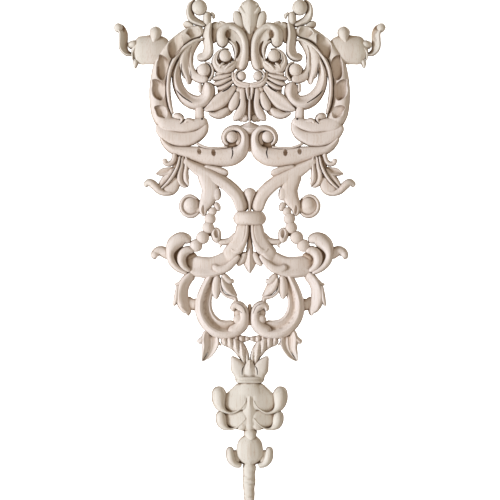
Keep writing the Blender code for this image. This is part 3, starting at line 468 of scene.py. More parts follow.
def bell():
    """The bell's rounded body with the ridge down its middle, on its floor."""
    return (
        (SLAB, (0, -165, 10, 8), (0, -176, 18, 11), (0, -190, 27, 11), (0, -203, 26, 11),
         (0, -208.4, 23, 10), (0, -214, 9, 8)),
        (ROUND, (0, -161, 13.8, 14.6), (0, -168, 15.4, 15.6), (0, -176, 17, 15.6), (0, -184, 10, 14.6)),
        (CREST, (0, -174, 5.0, 15.6), (0, -184, 6.4, 15.8), (0, -194, 9.0, 15.4), (0, -204, 9.0, 15),
         (0, -213.4, 9.8, 13.6)),
    )


def bell_side():
    """The bell's petals, dished out to the two curls on each side, and the skirt under them."""
    return (
        (PETAL, (7.2, -165.4, 6.2, 15), (9.6, -171, 7.0, 15.4), (12.4, -177, 9.6, 15.2),
         (14.8, -183, 11.8, 15), (16.8, -188.4, 10.6, 14.2), (17.4, -193.6, 6.0, 13.4)),
        (PETAL, (7.6, -190, 6.4, 14.6), (12.4, -198, 10.2, 14.4), (15.0, -204.6, 9.6, 13.6),
         (15.4, -209.6, 5.4, 12.8)),
        (ROUND, (28.4, -168.4, 6.0, 13), (30.2, -174, 7.4, 16), (30.4, -182, 7.2, 16.4),
         (28.4, -188.6, 5.2, 15.4), (24.0, -192.8, 2.2, 14.8), (18, -194.4, 1.4, 14.4),
         (11.6, -191.8, 1.3, 14.6), (7.2, -187.8, 1.2, 15), (3.6, -181.6, 0.9, 15.8)),
        (ROUND, (28.8, -192.4, 4.2, 13), (28.4, -200, 5.8, 15), (26.4, -206.4, 5.0, 14),
         (21.6, -210.2, 2.0, 13), (15.6, -210.0, 1.3, 13), (9.6, -206, 1.2, 13.8),
         (3.6, -198.8, 0.9, 15.2)),
        (SLAB, (3.4, -203, 4.0, 13.2), (7.6, -207.6, 4.6, 13.6), (12.0, -210.8, 2.0, 12)),
    )


def bud():
    """The bud below the bell with its cap."""
    return (
        (SLAB, (0, -230, 13, 6.5), (0, -240, 16, 6.5), (0, -248, 12, 6.5)),
        (CREST, (0, -215.5, 8.6, 13.4), (0, -226, 12.6, 15), (0, -236, 13.4, 15),
         (0, -246.6, 9.6, 12.8)),
        (ROUND, (0, -209.4, 5.6, 12.6), (0.8, -215.6, 6.8, 15), (3.4, -221.6, 3.0, 15.4)),
    )


def bud_side():
    """The lobe that folds up round each side of the bud."""
    return (
        (ROUND, (19.4, -228.4, 3.2, 12), (19.6, -234, 4.2, 14), (18.2, -240.6, 4.6, 14),
         (14.6, -245.4, 3.6, 12.6), (8, -247.4, 2.4, 11)),
        (SLAB, (14.4, -231.8, 2.6, 9.4), (15, -238, 4, 9.4), (11, -244, 4, 9.4)),
    )


STUB = (
    (0, -243, 7.4, 11), (-0.4, -250, 6.8, 11.2), (-0.5, -257, 6.0, 10.6), (-0.6, -262.6, 6.6, 11),
    (-0.8, -270, 5.7, 10.2), (-0.4, -276, 5.5, 10.4), (-0.6, -292, 4.0, 9.4),
)
ROPE = (
    (29, -122.2, 4.6, 10.4), (20, -123.8, 5.8, 12.4), (12.4, -127.6, 6.6, 13.4), (7.2, -134.6, 6.0, 13.4),
    (4.4, -141.6, 4.4, 12.6), (4, -148, 2.6, 11),
)
ROPE_BRIDGE = (
    (15, -119.4, 2.4, 9.5), (8, -120.8, 3.6, 10), (-0.8, -120.4, 1.6, 8.5),
)
ROPE_PITCH = 5.8
ROPE_LEAN = 3 * pi / 180
ROPE_DEPTH = 3.6
ROPE_CREST = 0.75
ROPE_FADE = 0.5
ROPE_STEP = 0.8
# Waves of knife marks on the stub: height, turn per millimetre along it and turn over its half width.
KNIFE_MARKS = ((0.55, 1.05, 1.6), (0.4, 2.1, -3.0))

CENTRE_PARTS = (crest, tulip, middle, neck, bell, bud)
SIDE_PARTS = (
    crest_side, arch, hook, eye, corner_flower, great_scroll, crescent, hanging_leaf, shell_cup, fan_leaves,
    upper_scroll, side_flower, upper_stem, pendant_side, lower_stem, curl, drops, loop, lower_scroll, tail,
    cup_petals, bell_side, bud_side,
)

# Balls and discs on each side: centre x and z, radius and height.
BALLS = (
    (50.0, 209.8, 7.6, 17.4), (131.0, 189.6, 4.3, 15.4), (45.8, 147.6, 6.6, 16), (45.6, 146, 8.4, 11.4),
    (24.4, 161.6, 6.3, 16.4), (8.0, 141.5, 4.7, 14.6), (18.0, 80.8, 5.9, 15.2), (59.7, 12.0, 11.3, 12.8),
    (58.8, 13.6, 7.2, 14.2), (94.6, -36.6, 3.5, 12.6), (84.6, 56.6, 2.8, 13.2), (39.4, -15.4, 3.2, 7),
)
# The string of beads on each side, from the branch down to the curl: centre x and z, radius and height.
BEADS = (
    (37.2, 6.4, 4.4, 12), (39.6, -0.8, 5.9, 13.4), (41.4, -9.6, 6.1, 14), (47.0, -19.6, 6.7, 14.6),
    (53.6, -27.6, 6.5, 14.6),
)

# Profiles of a gouge from its left edge to its right edge, as shares of the way up from its floor.
SCOOP = (1.0, 0.16, 0.0, 0.0, 0.03, 0.07, 0.12, 0.17, 0.24)
TROUGH = (1.0, 0.30, 0.06, 0.0, 0.0, 0.0, 0.06, 0.30, 1.0)
NICK = (1.0, 0.62, 0.34, 0.12, 0.0, 0.12, 0.34, 0.62, 1.0)


def hollows():
    """Hollows gouged in the great scroll, the arch and the crown on one side."""
    return (
        (SCOOP, (59.0, 191.6, 1.6, 10), (57.2, 187.6, 7.0, 9.2), (56.4, 182.4, 7.4, 9),
         (57.6, 178.0, 1.8, 9.6)),
        (SCOOP, (67.4, 183.6, 1.6, 9.4), (71.6, 178.0, 6.2, 8.2), (74.4, 172.2, 7.6, 7.6),
         (76.2, 165.6, 6.2, 7.8), (77.8, 158.2, 1.8, 8)),
        (SCOOP, (89.6, 162.8, 0.9, 9), (87.2, 156.4, 5.6, 7.8), (87.4, 148, 6.0, 7.6),
         (87.6, 141.8, 5.2, 7.8), (86.0, 136.8, 2.2, 9)),
        (SCOOP, (97.0, 137.8, 0.9, 10), (93.4, 134.0, 4.8, 8.6), (91.4, 129.0, 7.4, 8.2),
         (90.2, 123.2, 6.8, 8.2), (87.6, 116.8, 2.0, 8.8)),
        (SCOOP, (95.2, 110.4, 0.9, 10.4), (91.2, 108.4, 4.4, 9.8), (87.4, 104.8, 6.2, 9.8),
         (83.4, 99.4, 2.0, 10.4)),
        (TROUGH, (20.4, 187.6, 2.0, 10.6), (21.6, 182.6, 3.4, 9.8), (21.0, 178.2, 2.0, 10.2)),
        (TROUGH, (13.4, 158.6, 1.0, 9), (10.8, 165, 1.8, 8.4), (11.0, 171, 1.8, 8.4),
         (13.6, 176.4, 1.0, 9)),
        (TROUGH, (50.4, 70.2, 1.8, 10.2), (50.0, 66.8, 3.2, 9.4), (49.6, 62.8, 1.8, 10.2)),
        (TROUGH, (36.2, 69.0, 1.8, 10.2), (35.8, 65.4, 3.2, 9.4), (35.4, 61.2, 1.8, 10.2)),
        (TROUGH, (46.2, 13, 1.0, 11), (46.4, 8, 2.6, 10), (45.2, 2.4, 1.6, 9.6)),
        (TROUGH, (33.4, -10.4, 1.8, 10.4), (33.2, -15.4, 3.4, 10), (32.6, -20.4, 1.6, 10.4)),
        (TROUGH, (57.4, 172, 0.8, 11), (60.0, 164, 1.6, 9.6), (60.4, 155, 1.6, 9.6),
         (60.0, 149, 0.8, 10)),
    )


def nicks():
    """Fine knife lines on one side."""
    return (
        (NICK, (73.4, 128, 0.6, 11), (70.6, 124.4, 1.0, 9.6), (66, 120.2, 1.1, 9.6),
         (57, 114.4, 0.6, 11)),
        (NICK, (68.2, 154, 0.6, 10), (67.8, 147, 0.9, 8), (66, 140, 0.7, 8)),
        (NICK, (59.6, 148, 0.5, 10), (58.4, 142, 0.9, 8), (58.6, 136.6, 0.6, 8)),
        (NICK, (69.4, 105.2, 1.0, 10), (66.8, 102, 1.2, 9), (64.8, 99.4, 1.2, 8), (66, 96.4, 1.1, 10),
         (69.2, 93.4, 0.6, 12)),
        (NICK, (65, 99.8, 0.9, 9), (60.2, 100.8, 0.9, 9)),
        (NICK, (20, 154.8, 0.8, 11), (25.2, 150.2, 0.5, 12)),
        (NICK, (31.2, 32, 0.6, 9), (29.6, 27, 0.9, 8), (28.6, 19, 0.6, 8)),
        (NICK, (27.4, 125.6, 1.0, 8), (22, 128.4, 1.1, 7), (16, 133.6, 0.7, 9)),
        (NICK, (9.4, 118.6, 0.6, 9), (11.0, 112, 1.2, 7), (17.4, 105, 0.8, 8)),
        (NICK, (13.6, 128.4, 0.5, 11), (18.6, 119.4, 0.9, 10), (24.0, 112.4, 0.9, 10), (31, 107, 0.9, 10),
         (41, 105.8, 0.6, 9)),
        (NICK, (18.4, 70.6, 0.6, 9), (16.8, 65, 0.9, 9), (18.4, 58.4, 0.5, 11)),
        (NICK, (5.4, 128.4, 0.6, 10), (3.6, 116, 1.2, 8), (2.4, 106, 1.0, 8), (1.6, 97, 0.6, 10)),
        (NICK, (16.6, -98.4, 0.6, 11), (15.2, -94.2, 0.8, 11), (11.8, -92.2, 0.8, 11),
         (7.6, -94.6, 0.5, 13)),
        (NICK, (13.4, -84.8, 0.5, 13), (6.8, -88, 0.6, 13.4), (3.2, -95.4, 0.5, 13)),
        (NICK, (3.6, -145.6, 0.6, 12), (7.0, -150, 0.8, 11), (7.6, -156.4, 0.6, 12)),
    )


# Pits drilled on each side: centre x and z, radius and level of the floor.
PITS = (
    (47.4, 98.6, 1.4, 6), (46.4, 109.4, 1.0, 6), (42.2, 103.2, 1.0, 6), (32, 127, 1.2, 4),
    (19.4, 155, 1.2, 7), (83, 115, 1.0, 10), (17.4, 69.6, 1.1, 7),
)
# Levels off the back: of the cuts' flat tops, and of the wood's surface that their profiles reach up to.
CUT_TOP = 24.0
STOCK = 15.6
# Share of its depth that a gouge cut has at its very ends.
CUT_START = 0.4
PIT_SIDES = 14
PIT_FLOOR_SHARE = 0.7
PIT_MOUTH_SHARE = 1.1

# The square end of the stub, how far strokes start behind the back, and the waste behind and below.
FOOT = -282.0
BEHIND = 3.0
WASTE = (((-200, 0, -400), (200, 40, 400)), ((-60, -60, -400), (60, 60, FOOT)))

# How finely strokes and balls are divided, in millimetres and in counts.
STATION_STEP = 1.76
END_STEPS = 5
BALL_RINGS = 9
BALL_SIDES = 32
DENSE = 500
# Places across a stroke, from minus one to one, closer together at its edges.
ACROSS = 14
BUNCHING = 0.92
PLACES = np.sin(np.linspace(-pi / 2, pi / 2, ACROSS + 1) * BUNCHING) / np.sin(pi / 2 * BUNCHING)
# Least half width, share of the height left at an end, and share of a bend's radius that an edge may reach.
LEAST_WIDTH = 0.02
END_HEIGHT = 0.66
BEND_REACH = 0.86
LEAST_BEND = 1e-4
# How far a ball's rim lies under its top and how wide its flat tip is, as shares of its radius.
BALL_DEPTH = 0.86
BALL_TIP = 0.04


def cubic(share, gap, first, first_slope, last, last_slope):
    """Values at a share of each gap, on the cubic that has the given values and slopes at its ends."""
    return (
        (2 * share**3 - 3 * share**2 + 1) * first
        + (share**3 - 2 * share**2 + share) * gap * first_slope
        + (3 * share**2 - 2 * share**3) * last
        + (share**3 - share**2) * gap * last_slope
    )


def curve_through(knots):
    """Points of the smooth curve through the knots, with the run of its length.

    Each span is a cubic whose end slopes come from the neighbouring knots, measured against the square
    root of the chords, so that close knots bend the curve gently.
    """
    table = np.array(knots, float)
    marks = np.concatenate([[0.0], np.cumsum(np.sqrt(np.hypot(*np.diff(table[:, :2], axis=0).T)))])
    if len(table) == 2:
        slopes = np.repeat((table[1:] - table[:1]) / marks[-1], 2, axis=0)
    else:
        slopes = np.gradient(table, marks, axis=0)
    places = np.linspace(0.0, marks[-1], DENSE)
    left = np.clip(np.searchsorted(marks, places, side="right") - 1, 0, len(marks) - 2)
    gap = (marks[left + 1] - marks[left])[:, None]
    share = (places - marks[left])[:, None] / gap
    curve = cubic(share, gap, table[left], slopes[left], table[left + 1], slopes[left + 1])
    run = np.concatenate([[0.0], np.cumsum(np.hypot(*np.diff(curve[:, :2], axis=0).T))])
    return curve, run


def stations(run, first_width, last_width, step=STATION_STEP):
    """Places along a stroke: even steps between its ends and closer ones round each rounded end."""
    turn = np.linspace(0.0, pi / 2, END_STEPS + 1)
    start = first_width * (1 - np.cos(turn))
    end = run - last_width * (1 - np.cos(turn))[::-1]
    if start[-1] > end[0] - step:
        middle_place = (start[-1] + end[0]) / 2
        start = start * middle_place / start[-1]
        end = run - (run - end) * (run - middle_place) / (run - end[0])
        return np.concatenate([start, end[1:]])
    count = max(2, round((end[0] - start[-1]) / step))
    return np.concatenate([start, np.linspace(start[-1], end[0], count + 1)[1:-1], end])


def rounded_ends(at, run, first_reach, last_reach):
    """Shares that rise from nought to one over the reach of each end, as a quarter circle does."""
    first = np.clip(at / first_reach, 0.0, 1.0)
    last = np.clip((run - at) / last_reach, 0.0, 1.0)
    return np.sqrt((1 - (1 - first) ** 2) * (1 - (1 - last) ** 2))


def stroke_surface(section, knots, relief=None, step=STATION_STEP):
    """Grid of points of one stroke: stations along it by points round it, in millimetres.

    A point lies across the stroke by its share of the half width, and out from the back by the section's
    share of the height, plus the relief if there is one. Both shrink to the ends as a quarter circle does,
    the width to nothing and the height to a share. On the inside of a tight bend the offset stops just
    short of the centre of the bend.
    """
    curve, run = curve_through(knots)
    at = stations(run[-1], knots[0][2], knots[-1][2], step)
    x, z, width, height = (np.interp(at, run, column) for column in curve.T)
    slope = np.gradient(curve[:, :2], run, axis=0)
    slope /= np.hypot(*slope.T)[:, None]
    heading = np.unwrap(np.arctan2(slope[:, 1], slope[:, 0]))
    bend = np.interp(at, run, np.gradient(heading, run))
    heading = np.interp(at, run, heading)
    rounding = rounded_ends(at, run[-1], knots[0][2], knots[-1][2])
    width = np.maximum(width * rounding, LEAST_WIDTH)
    height = height * (END_HEIGHT + (1 - END_HEIGHT) * rounding)
    offset = -PLACES[None, :] * width[:, None]
    limit = BEND_REACH / np.maximum(np.abs(bend), LEAST_BEND)[:, None]
    inner = np.sign(bend)[:, None]
    offset = np.where(offset * inner > 0, np.clip(offset, -limit, limit), offset)
    grid = np.empty((len(at), ACROSS + 3, 3))
    grid[:, 1:-1, 0] = x[:, None] - np.sin(heading)[:, None] * offset
    grid[:, 1:-1, 2] = z[:, None] + np.cos(heading)[:, None] * offset
    rise = height[:, None] * smooth_section(section)[None, :]
    if relief is not None:
        marks = relief(at[:, None], PLACES[None, :], grid[:, 1:-1, 0], grid[:, 1:-1, 2])
        rise = rise + marks * rounding[:, None]
    grid[:, 1:-1, 1] = -rise
    grid[:, 0] = grid[:, 1]
    grid[:, -1] = grid[:, -2]
    grid[:, 0, 1] = BEHIND
    grid[:, -1, 1] = BEHIND
    return grid


def smooth_section(section):
    """The section's shares at the places across a stroke: a cubic through each pair of neighbours."""
    places = np.linspace(-1.0, 1.0, len(section))
    values = np.array(section)
    slopes = np.gradient(values, places)
    left = np.clip(np.searchsorted(places, PLACES, side="right") - 1, 0, len(places) - 2)
    gap = places[1] - places[0]
    share = (PLACES - places[left]) / gap
    return cubic(share, gap, values[left], slopes[left], values[left + 1], slopes[left + 1])


def gouge_surface(section, knots):
    """Grid of points of the wood a gouge takes away: its floor profile below and a flat top above the work.

    A point lies across the cut by its share of the half width. Its level goes up from the floor by the
    profile's share of the way to the stock's surface, and the floor itself rises to each end.
    """
    grid = stroke_surface(section, knots)
    curve, run = curve_through(knots)
    at = stations(run[-1], knots[0][2], knots[-1][2])
    floor = np.interp(at, run, curve[:, 3])
    depth = rounded_ends(at, run[-1], 2 * knots[0][2], 2 * knots[-1][2])
    floor = STOCK - (STOCK - floor) * (CUT_START + (1 - CUT_START) * depth)
    grid[:, 1:-1, 1] = -(floor[:, None] + (STOCK - floor)[:, None] * smooth_section(section)[None, :])
    grid[:, 0, 1] = -CUT_TOP
    grid[:, -1, 1] = -CUT_TOP
    return grid


def pit_surface(x, z, radius, floor):
    """Grid of points of a drilled pit, slightly narrower at its floor."""
    angle = np.linspace(0.0, 2 * pi, PIT_SIDES, endpoint=False)
    grid = np.empty((2, PIT_SIDES, 3))
    for row, (share, level) in enumerate(((PIT_FLOOR_SHARE, floor), (PIT_MOUTH_SHARE, CUT_TOP))):
        grid[row, :, 0] = x + radius * share * np.cos(angle)
        grid[row, :, 1] = -level
        grid[row, :, 2] = z + radius * share * np.sin(angle)
    return grid


def rope_twist(_along, across, x, z):
    """Twisted strands: half waves with sharp creases between them, which stand a little off upright."""
    phase = pi * (x * np.cos(ROPE_LEAN) - z * np.sin(ROPE_LEAN)) / ROPE_PITCH
    return ROPE_DEPTH * (np.abs(np.sin(phase)) - ROPE_CREST) * (1 - across**2 * ROPE_FADE)


def whittled(along, across, _x, _z):
    """Uneven knife marks: the sum of waves that run slantwise along the stub."""
    return sum(height * np.cos(turn * along + slant * across) for height, turn, slant in KNIFE_MARKS)


def ball_surface(x, z, radius, height):
    """Grid of points of a ball half sunk in the work: a quarter circle turned about its axis."""
    turn = np.linspace(0.0, pi / 2, BALL_RINGS)
    share = np.concatenate([[1.0], np.cos(turn)[:-1], [BALL_TIP]])
    level = height - radius * BALL_DEPTH * (1 - np.sin(turn))
    level = np.concatenate([[-BEHIND], level[:-1], [height]])
    angle = np.linspace(0.0, 2 * pi, BALL_SIDES, endpoint=False)
    grid = np.empty((len(share), BALL_SIDES, 3))
    grid[:, :, 0] = x + radius * share[:, None] * np.cos(angle)
    grid[:, :, 1] = -level[:, None]
    grid[:, :, 2] = z + radius * share[:, None] * np.sin(angle)
    return grid


def mirrored(grid):
    """The same grid on the other side of the middle line, wound so that it still faces out."""
    flipped = grid[:, ::-1].copy()
    flipped[:, :, 0] *= -1
    return flipped


def closed_mesh(name, grid):
    """A mesh from a grid that closes round each row, with a face over its first and its last row."""
    rows, ring = grid.shape[:2]
    index = np.arange(rows * ring).reshape(rows, ring)
    following = np.roll(index, -1, axis=1)
    quads = np.stack([index[:-1], index[1:], following[1:], following[:-1]], -1).reshape(-1, 4)
    faces = quads.tolist() + [index[0].tolist(), index[-1][::-1].tolist()]
    mesh = bpy.data.meshes.new(name)
    mesh.from_pydata(grid.reshape(-1, 3) * MM, [], faces)
    if signed_volume(grid) < 0:
        mesh.flip_normals()
    return mesh


def signed_volume(grid):
    """Volume held by the grid's side faces, taken against its own middle, to see which way they face."""
    points = grid - grid.reshape(-1, 3).mean(axis=0)
    a = points[:-1]
    b = points[1:]
    c = np.roll(b, -1, axis=1)
    d = np.roll(a, -1, axis=1)
    return float((np.cross(a, b) * c).sum() + (np.cross(a, c) * d).sum())


def all_surfaces():
    """Every stroke and ball of the carving, both sides."""
    grids = [stroke_surface(section, knots) for part in CENTRE_PARTS for section, *knots in part()]
    grids.append(stroke_surface(ROUND, STUB, whittled))
    side = [stroke_surface(section, knots) for part in SIDE_PARTS for section, *knots in part()]
    side.append(stroke_surface(ROUND, ROPE, rope_twist, ROPE_STEP))
    side.append(stroke_surface(ROUND, ROPE_BRIDGE, rope_twist, ROPE_STEP))
    side += [ball_surface(*ball) for ball in BALLS + BEADS]
    return grids + side + [mirrored(grid) for grid in side]


def all_cuts():
    """Every gouge cut and pit, both sides, and the waste behind the back and below the foot."""
    side = [gouge_surface(section, knots) for section, *knots in hollows() + nicks()]
    side += [pit_surface(*pit) for pit in PITS]
    return side + [mirrored(grid) for grid in side] + [box_grid(*corners) for corners in WASTE]


def box_grid(low, high):
    """A box as a grid of two rings, in millimetres."""
    corners = np.array([(low[0], low[2]), (high[0], low[2]), (high[0], high[2]), (low[0], high[2])], float)
    grid = np.empty((2, 4, 3))
    grid[:, :, 0] = corners[:, 0]
    grid[:, :, 2] = corners[:, 1]
    grid[0, :, 1] = low[1]
    grid[1, :, 1] = high[1]
    return grid


def joined(grids, cuts):
    """One object from many closed grids: their union less the cuts."""
    scene = bpy.context.scene
    strokes = bpy.data.collections.new("strokes")
    waste = bpy.data.collections.new("waste")
    scene.collection.children.link(strokes)
    scene.collection.children.link(waste)
    for number, grid in enumerate(grids[1:]):
        strokes.objects.link(bpy.data.objects.new(f"stroke_{number}", closed_mesh("stroke", grid)))
    for number, grid in enumerate(cuts):
        waste.objects.link(bpy.data.objects.new(f"cut_{number}", closed_mesh("cut", grid)))
    piece = bpy.data.objects.new(PIECE, closed_mesh(PIECE, grids[0]))
    scene.collection.objects.link(piece)
    for name, operation, collection in (("join", "UNION", strokes), ("carve", "DIFFERENCE", waste)):
        modifier = piece.modifiers.new(name, "BOOLEAN")
        modifier.operation = operation
        modifier.solver = "MANIFOLD"
        modifier.operand_type = "COLLECTION"
        modifier.collection = collection
    graph = bpy.context.evaluated_depsgraph_get()
    result = bpy.data.meshes.new_from_object(piece.evaluated_get(graph))
    piece.modifiers.clear()
    piece.data = result
    for collection in (strokes, waste):
        for helper in list(collection.objects):
            bpy.data.objects.remove(helper, do_unlink=True)
        bpy.data.collections.remove(collection)
    return piece


BLUR_ROUNDS = 3
# Height a cell needs to count as wood, and room left round the grid of cells, in millimetres.
WOOD_LEVEL = 0.5
GRID_MARGIN = 12
LEAST_WOOD = 1e-3
# Kinds of painted shade, darker where the wood lies under its neighbours: attribute, radius looked over and
# depth that counts as full, in millimetres.
SHADE_KINDS = (("crevice_shade", 1, 2.5), ("hollow_shade", 4, 6.0))
# Where the wood turns khaki: from a line at the crest, the bell and the corners, over a span past it.
CREST_LINE = 130
CREST_SPAN = 70
BELL_LINE = -120
BELL_SPAN = 40
CORNER_LINE = 94
CORNER_SPAN = 14


def blurred(field, radius):
    """The field averaged three times over a square of that radius, which is close to a bell curve."""
    for _ in range(BLUR_ROUNDS):
        for axis in (0, 1):
            padded = np.concatenate([np.repeat(field.take([0], axis), radius + 1, axis), field,
                                     np.repeat(field.take([-1], axis), radius, axis)], axis)
            total = np.cumsum(padded, axis=axis)
            size = field.shape[axis]
            high = total.take(range(2 * radius + 1, 2 * radius + 1 + size), axis)
            low = total.take(range(size), axis)
            field = (high - low) / (2 * radius + 1)
    return field


def add_shade_and_khaki(mesh):
    """Per-point values of painted shade and of khaki tone.

    A shade value is how far a point lies under the average height of the wood around it, and it paints
    shade into the wood's colour there. The heights are laid on a grid of one-millimetre cells, and the
    average is the blur of the grid divided by the blur of the cells that hold wood. The value for crevices
    looks close round the point and the value for hollows looks wide. The flat back has neither. The khaki
    value is the greatest share of the way past the crest's line, the bell's line or the corners' line.
    """
    points = np.empty(len(mesh.vertices) * 3)
    mesh.vertices.foreach_get("co", points)
    points = points.reshape(-1, 3) / MM
    origin = points.min(axis=0) - GRID_MARGIN
    cells = np.round(points - origin).astype(int)
    shape = cells.max(axis=0) + GRID_MARGIN + 1
    heights = np.zeros((shape[0], shape[2]))
    np.maximum.at(heights, (cells[:, 0], cells[:, 2]), -points[:, 1])
    filled = (heights > WOOD_LEVEL).astype(float)
    # Each kind paints shade into the colour: the further a point lies under its neighbours, the darker it
    # is painted.
    for name, radius, span in SHADE_KINDS:
        average = blurred(heights, radius) / np.maximum(blurred(filled, radius), LEAST_WOOD)
        values = average[cells[:, 0], cells[:, 2]] + points[:, 1]
        add_values(mesh, name, np.where(points[:, 1] < -WOOD_LEVEL, values / span, 0.0))
    crest_share = (points[:, 2] - CREST_LINE) / CREST_SPAN
    bell_share = (BELL_LINE - points[:, 2]) / BELL_SPAN
    corner_share = (np.abs(points[:, 0]) - CORNER_LINE) / CORNER_SPAN
    add_values(mesh, "khaki", np.maximum(np.maximum(crest_share, bell_share), corner_share))


def add_values(mesh, name, values):
    """A number on each point, held between minus one and one."""
    attribute = mesh.attributes.new(name, "FLOAT", "POINT")
    attribute.data.foreach_set("value", np.clip(values, -1.0, 1.0))


def add_socket(group, name, kind, output=False):
    """A socket on a node group."""
    direction = "OUTPUT" if output else "INPUT"
    return group.interface.new_socket(name=name, in_out=direction, socket_type=kind)


# Grain patterns: output, fineness, stretch along each axis and detail.
GRAINS = (
    ("Streaks", 900.0, (1.0, 1.0, 0.05), 3.0),
    ("Pores", 1500.0, (1.0, 1.0, 0.35), 2.0),
    ("Clouds", 26.0, (1.0, 1.0, 0.6), 3.0),
)


def grain_group():
    """Node group of wood grain: long upright streaks, fine pores and cloudy tone, each from zero to one."""
    group = bpy.data.node_groups.new("Wood grain", "ShaderNodeTree")
    add_socket(group, "Size", "NodeSocketFloat")
    for name, *_ in GRAINS:
        add_socket(group, name, "NodeSocketFloat", True)
    nodes = group.nodes
    links = group.links
    entry = nodes.new("NodeGroupInput")
    outlet = nodes.new("NodeGroupOutput")
    place = nodes.new("ShaderNodeTexCoord")
    grown = nodes.new("ShaderNodeVectorMath")
    grown.operation = "SCALE"
    links.new(place.outputs["Object"], grown.inputs[0])
    links.new(entry.outputs["Size"], grown.inputs["Scale"])
    for name, scale, stretch, detail in GRAINS:
        mapping = nodes.new("ShaderNodeMapping")
        mapping.inputs["Scale"].default_value = stretch
        noise = nodes.new("ShaderNodeTexNoise")
        noise.inputs["Scale"].default_value = scale
        noise.inputs["Detail"].default_value = detail
        links.new(grown.outputs["Vector"], mapping.inputs["Vector"])
        links.new(mapping.outputs["Vector"], noise.inputs["Vector"])
        links.new(noise.outputs["Fac"], outlet.inputs[name])
    return group


def mixed(nodes, links, factor, first, second):
    """A colour mix of two colours or sockets by a factor socket."""
    mix = nodes.new("ShaderNodeMix")
    mix.data_type = "RGBA"
    links.new(factor, mix.inputs["Factor"])
    for value, socket in ((first, mix.inputs["A"]), (second, mix.inputs["B"])):
        if isinstance(value, bpy.types.NodeSocket):
            links.new(value, socket)
        else:
            socket.default_value = value
    return mix.outputs["Result"]


def ranged(nodes, links, socket, low, high, to_low, to_high):
    """The socket's value carried from one range to another."""
    node = nodes.new("ShaderNodeMapRange")
    node.inputs["From Min"].default_value = low
    node.inputs["From Max"].default_value = high
    node.inputs["To Min"].default_value = to_low
    node.inputs["To Max"].default_value = to_high
    links.new(socket, node.inputs["Value"])
    return node.outputs["Result"]


# Layers of colour over the pale wood: the value each follows, the range of the value over which it
# comes in, the share it reaches and the setting that holds its colour.
LAYERS = (
    ("Clouds", 0.35, 0.65, 1.0, "warm"),
    ("khaki", 0.0, 1.0, 0.8, "khaki"),
    ("Streaks", 0.52, 0.72, 0.35, "grain_and_shade_brown"),
    ("Pores", 0.62, 0.74, 0.35, "grain_and_shade_brown"),
    # The last two layers are painted shade: browner in the hollows and darkest at the bottom of the cuts.
    ("hollow_shade", 0.06, 0.7, 0.65, "grain_and_shade_brown"),
    ("crevice_shade", 0.15, 0.9, 0.85, "crevice_shade_colour"),
)
# Range of the streaks, and the roughness at its two ends.
ROUGHNESS = (0.3, 0.7, 0.62, 0.78)
GRAIN_BUMP = 0.25
GRAIN_DEPTH = 0.0004
GLOSS = 0.18


def layer_value(nodes, grain, name):
    """The socket of a value: an output of the grain, or else an attribute of the mesh."""
    if name in grain.outputs:
        return grain.outputs[name]
    attribute = nodes.new("ShaderNodeAttribute")
    attribute.attribute_name = name
    return attribute.outputs["Fac"]


def wood_material(settings):
    """Pale raw wood: cloudy, streaked and pored, with painted shade that makes it browner in the hollows
    and darkest in the crevices.
    """
    material = bpy.data.materials.new("pale_wood")
    material.use_nodes = True
    nodes = material.node_tree.nodes
    links = material.node_tree.links
    shader = nodes["Principled BSDF"]
    grain = nodes.new("ShaderNodeGroup")
    grain.node_tree = grain_group()
    grain.inputs["Size"].default_value = 1.0
    base = (*settings.pale, 1.0)
    for name, low, high, share, colour in LAYERS:
        amount = ranged(nodes, links, layer_value(nodes, grain, name), low, high, 0.0, share)
        base = mixed(nodes, links, amount, base, (*getattr(settings, colour), 1.0))
    links.new(base, shader.inputs["Base Color"])
    links.new(ranged(nodes, links, grain.outputs["Streaks"], *ROUGHNESS), shader.inputs["Roughness"])
    bump = nodes.new("ShaderNodeBump")
    bump.inputs["Strength"].default_value = GRAIN_BUMP
    bump.inputs["Distance"].default_value = GRAIN_DEPTH
    links.new(grain.outputs["Streaks"], bump.inputs["Height"])
    links.new(bump.outputs["Normal"], shader.inputs["Normal"])
    shader.inputs["Specular IOR Level"].default_value = GLOSS
    return material


def colour_setting(name, description, default):
    """A colour of the settings."""
    return bpy.props.FloatVectorProperty(
        name=name, description=description, default=default, subtype="COLOR"
    )


class AppliqueSettings(bpy.types.PropertyGroup):
    """Colours of the carved piece and of the studio, its crispness and the width of the view."""

    pale: colour_setting("Pale wood", "Colour of the raised wood", (0.755, 0.695, 0.655))
    warm: colour_setting("Warm wood", "Colour of the cloudy patches", (0.71, 0.635, 0.575))
    khaki: colour_setting("Khaki wood", "Colour at the crest, corners and bell", (0.69, 0.665, 0.595))
    # This colour serves the grain's streaks and pores, and also the painted shade in the hollows.
    grain_and_shade_brown: colour_setting("Hollows", "Colour of the hollows and pores", (0.47, 0.32, 0.19))
    # This colour is painted shade at the bottom of the cuts.
    crevice_shade_colour: colour_setting("Crevices", "Colour at the bottom of the cuts", (0.19, 0.115, 0.065))
    edge_angle: bpy.props.FloatProperty(
        name="Edge angle", description="Sharper creases stay crisp", default=0.75, subtype="ANGLE"
    )
    studio_white: colour_setting("Studio", "Colour of the floor and the backdrop", (0.9, 0.9, 0.9))
    air: colour_setting("Air", "Colour of the light from all round", (1.0, 0.83, 0.64))
    air_strength: bpy.props.FloatProperty(
        name="Air strength", description="Strength of the light from all round", default=0.36,
        subtype="FACTOR",
    )
    view_width: bpy.props.FloatProperty(
        name="View width", description="Width the camera takes in", default=0.5, unit="LENGTH"
    )


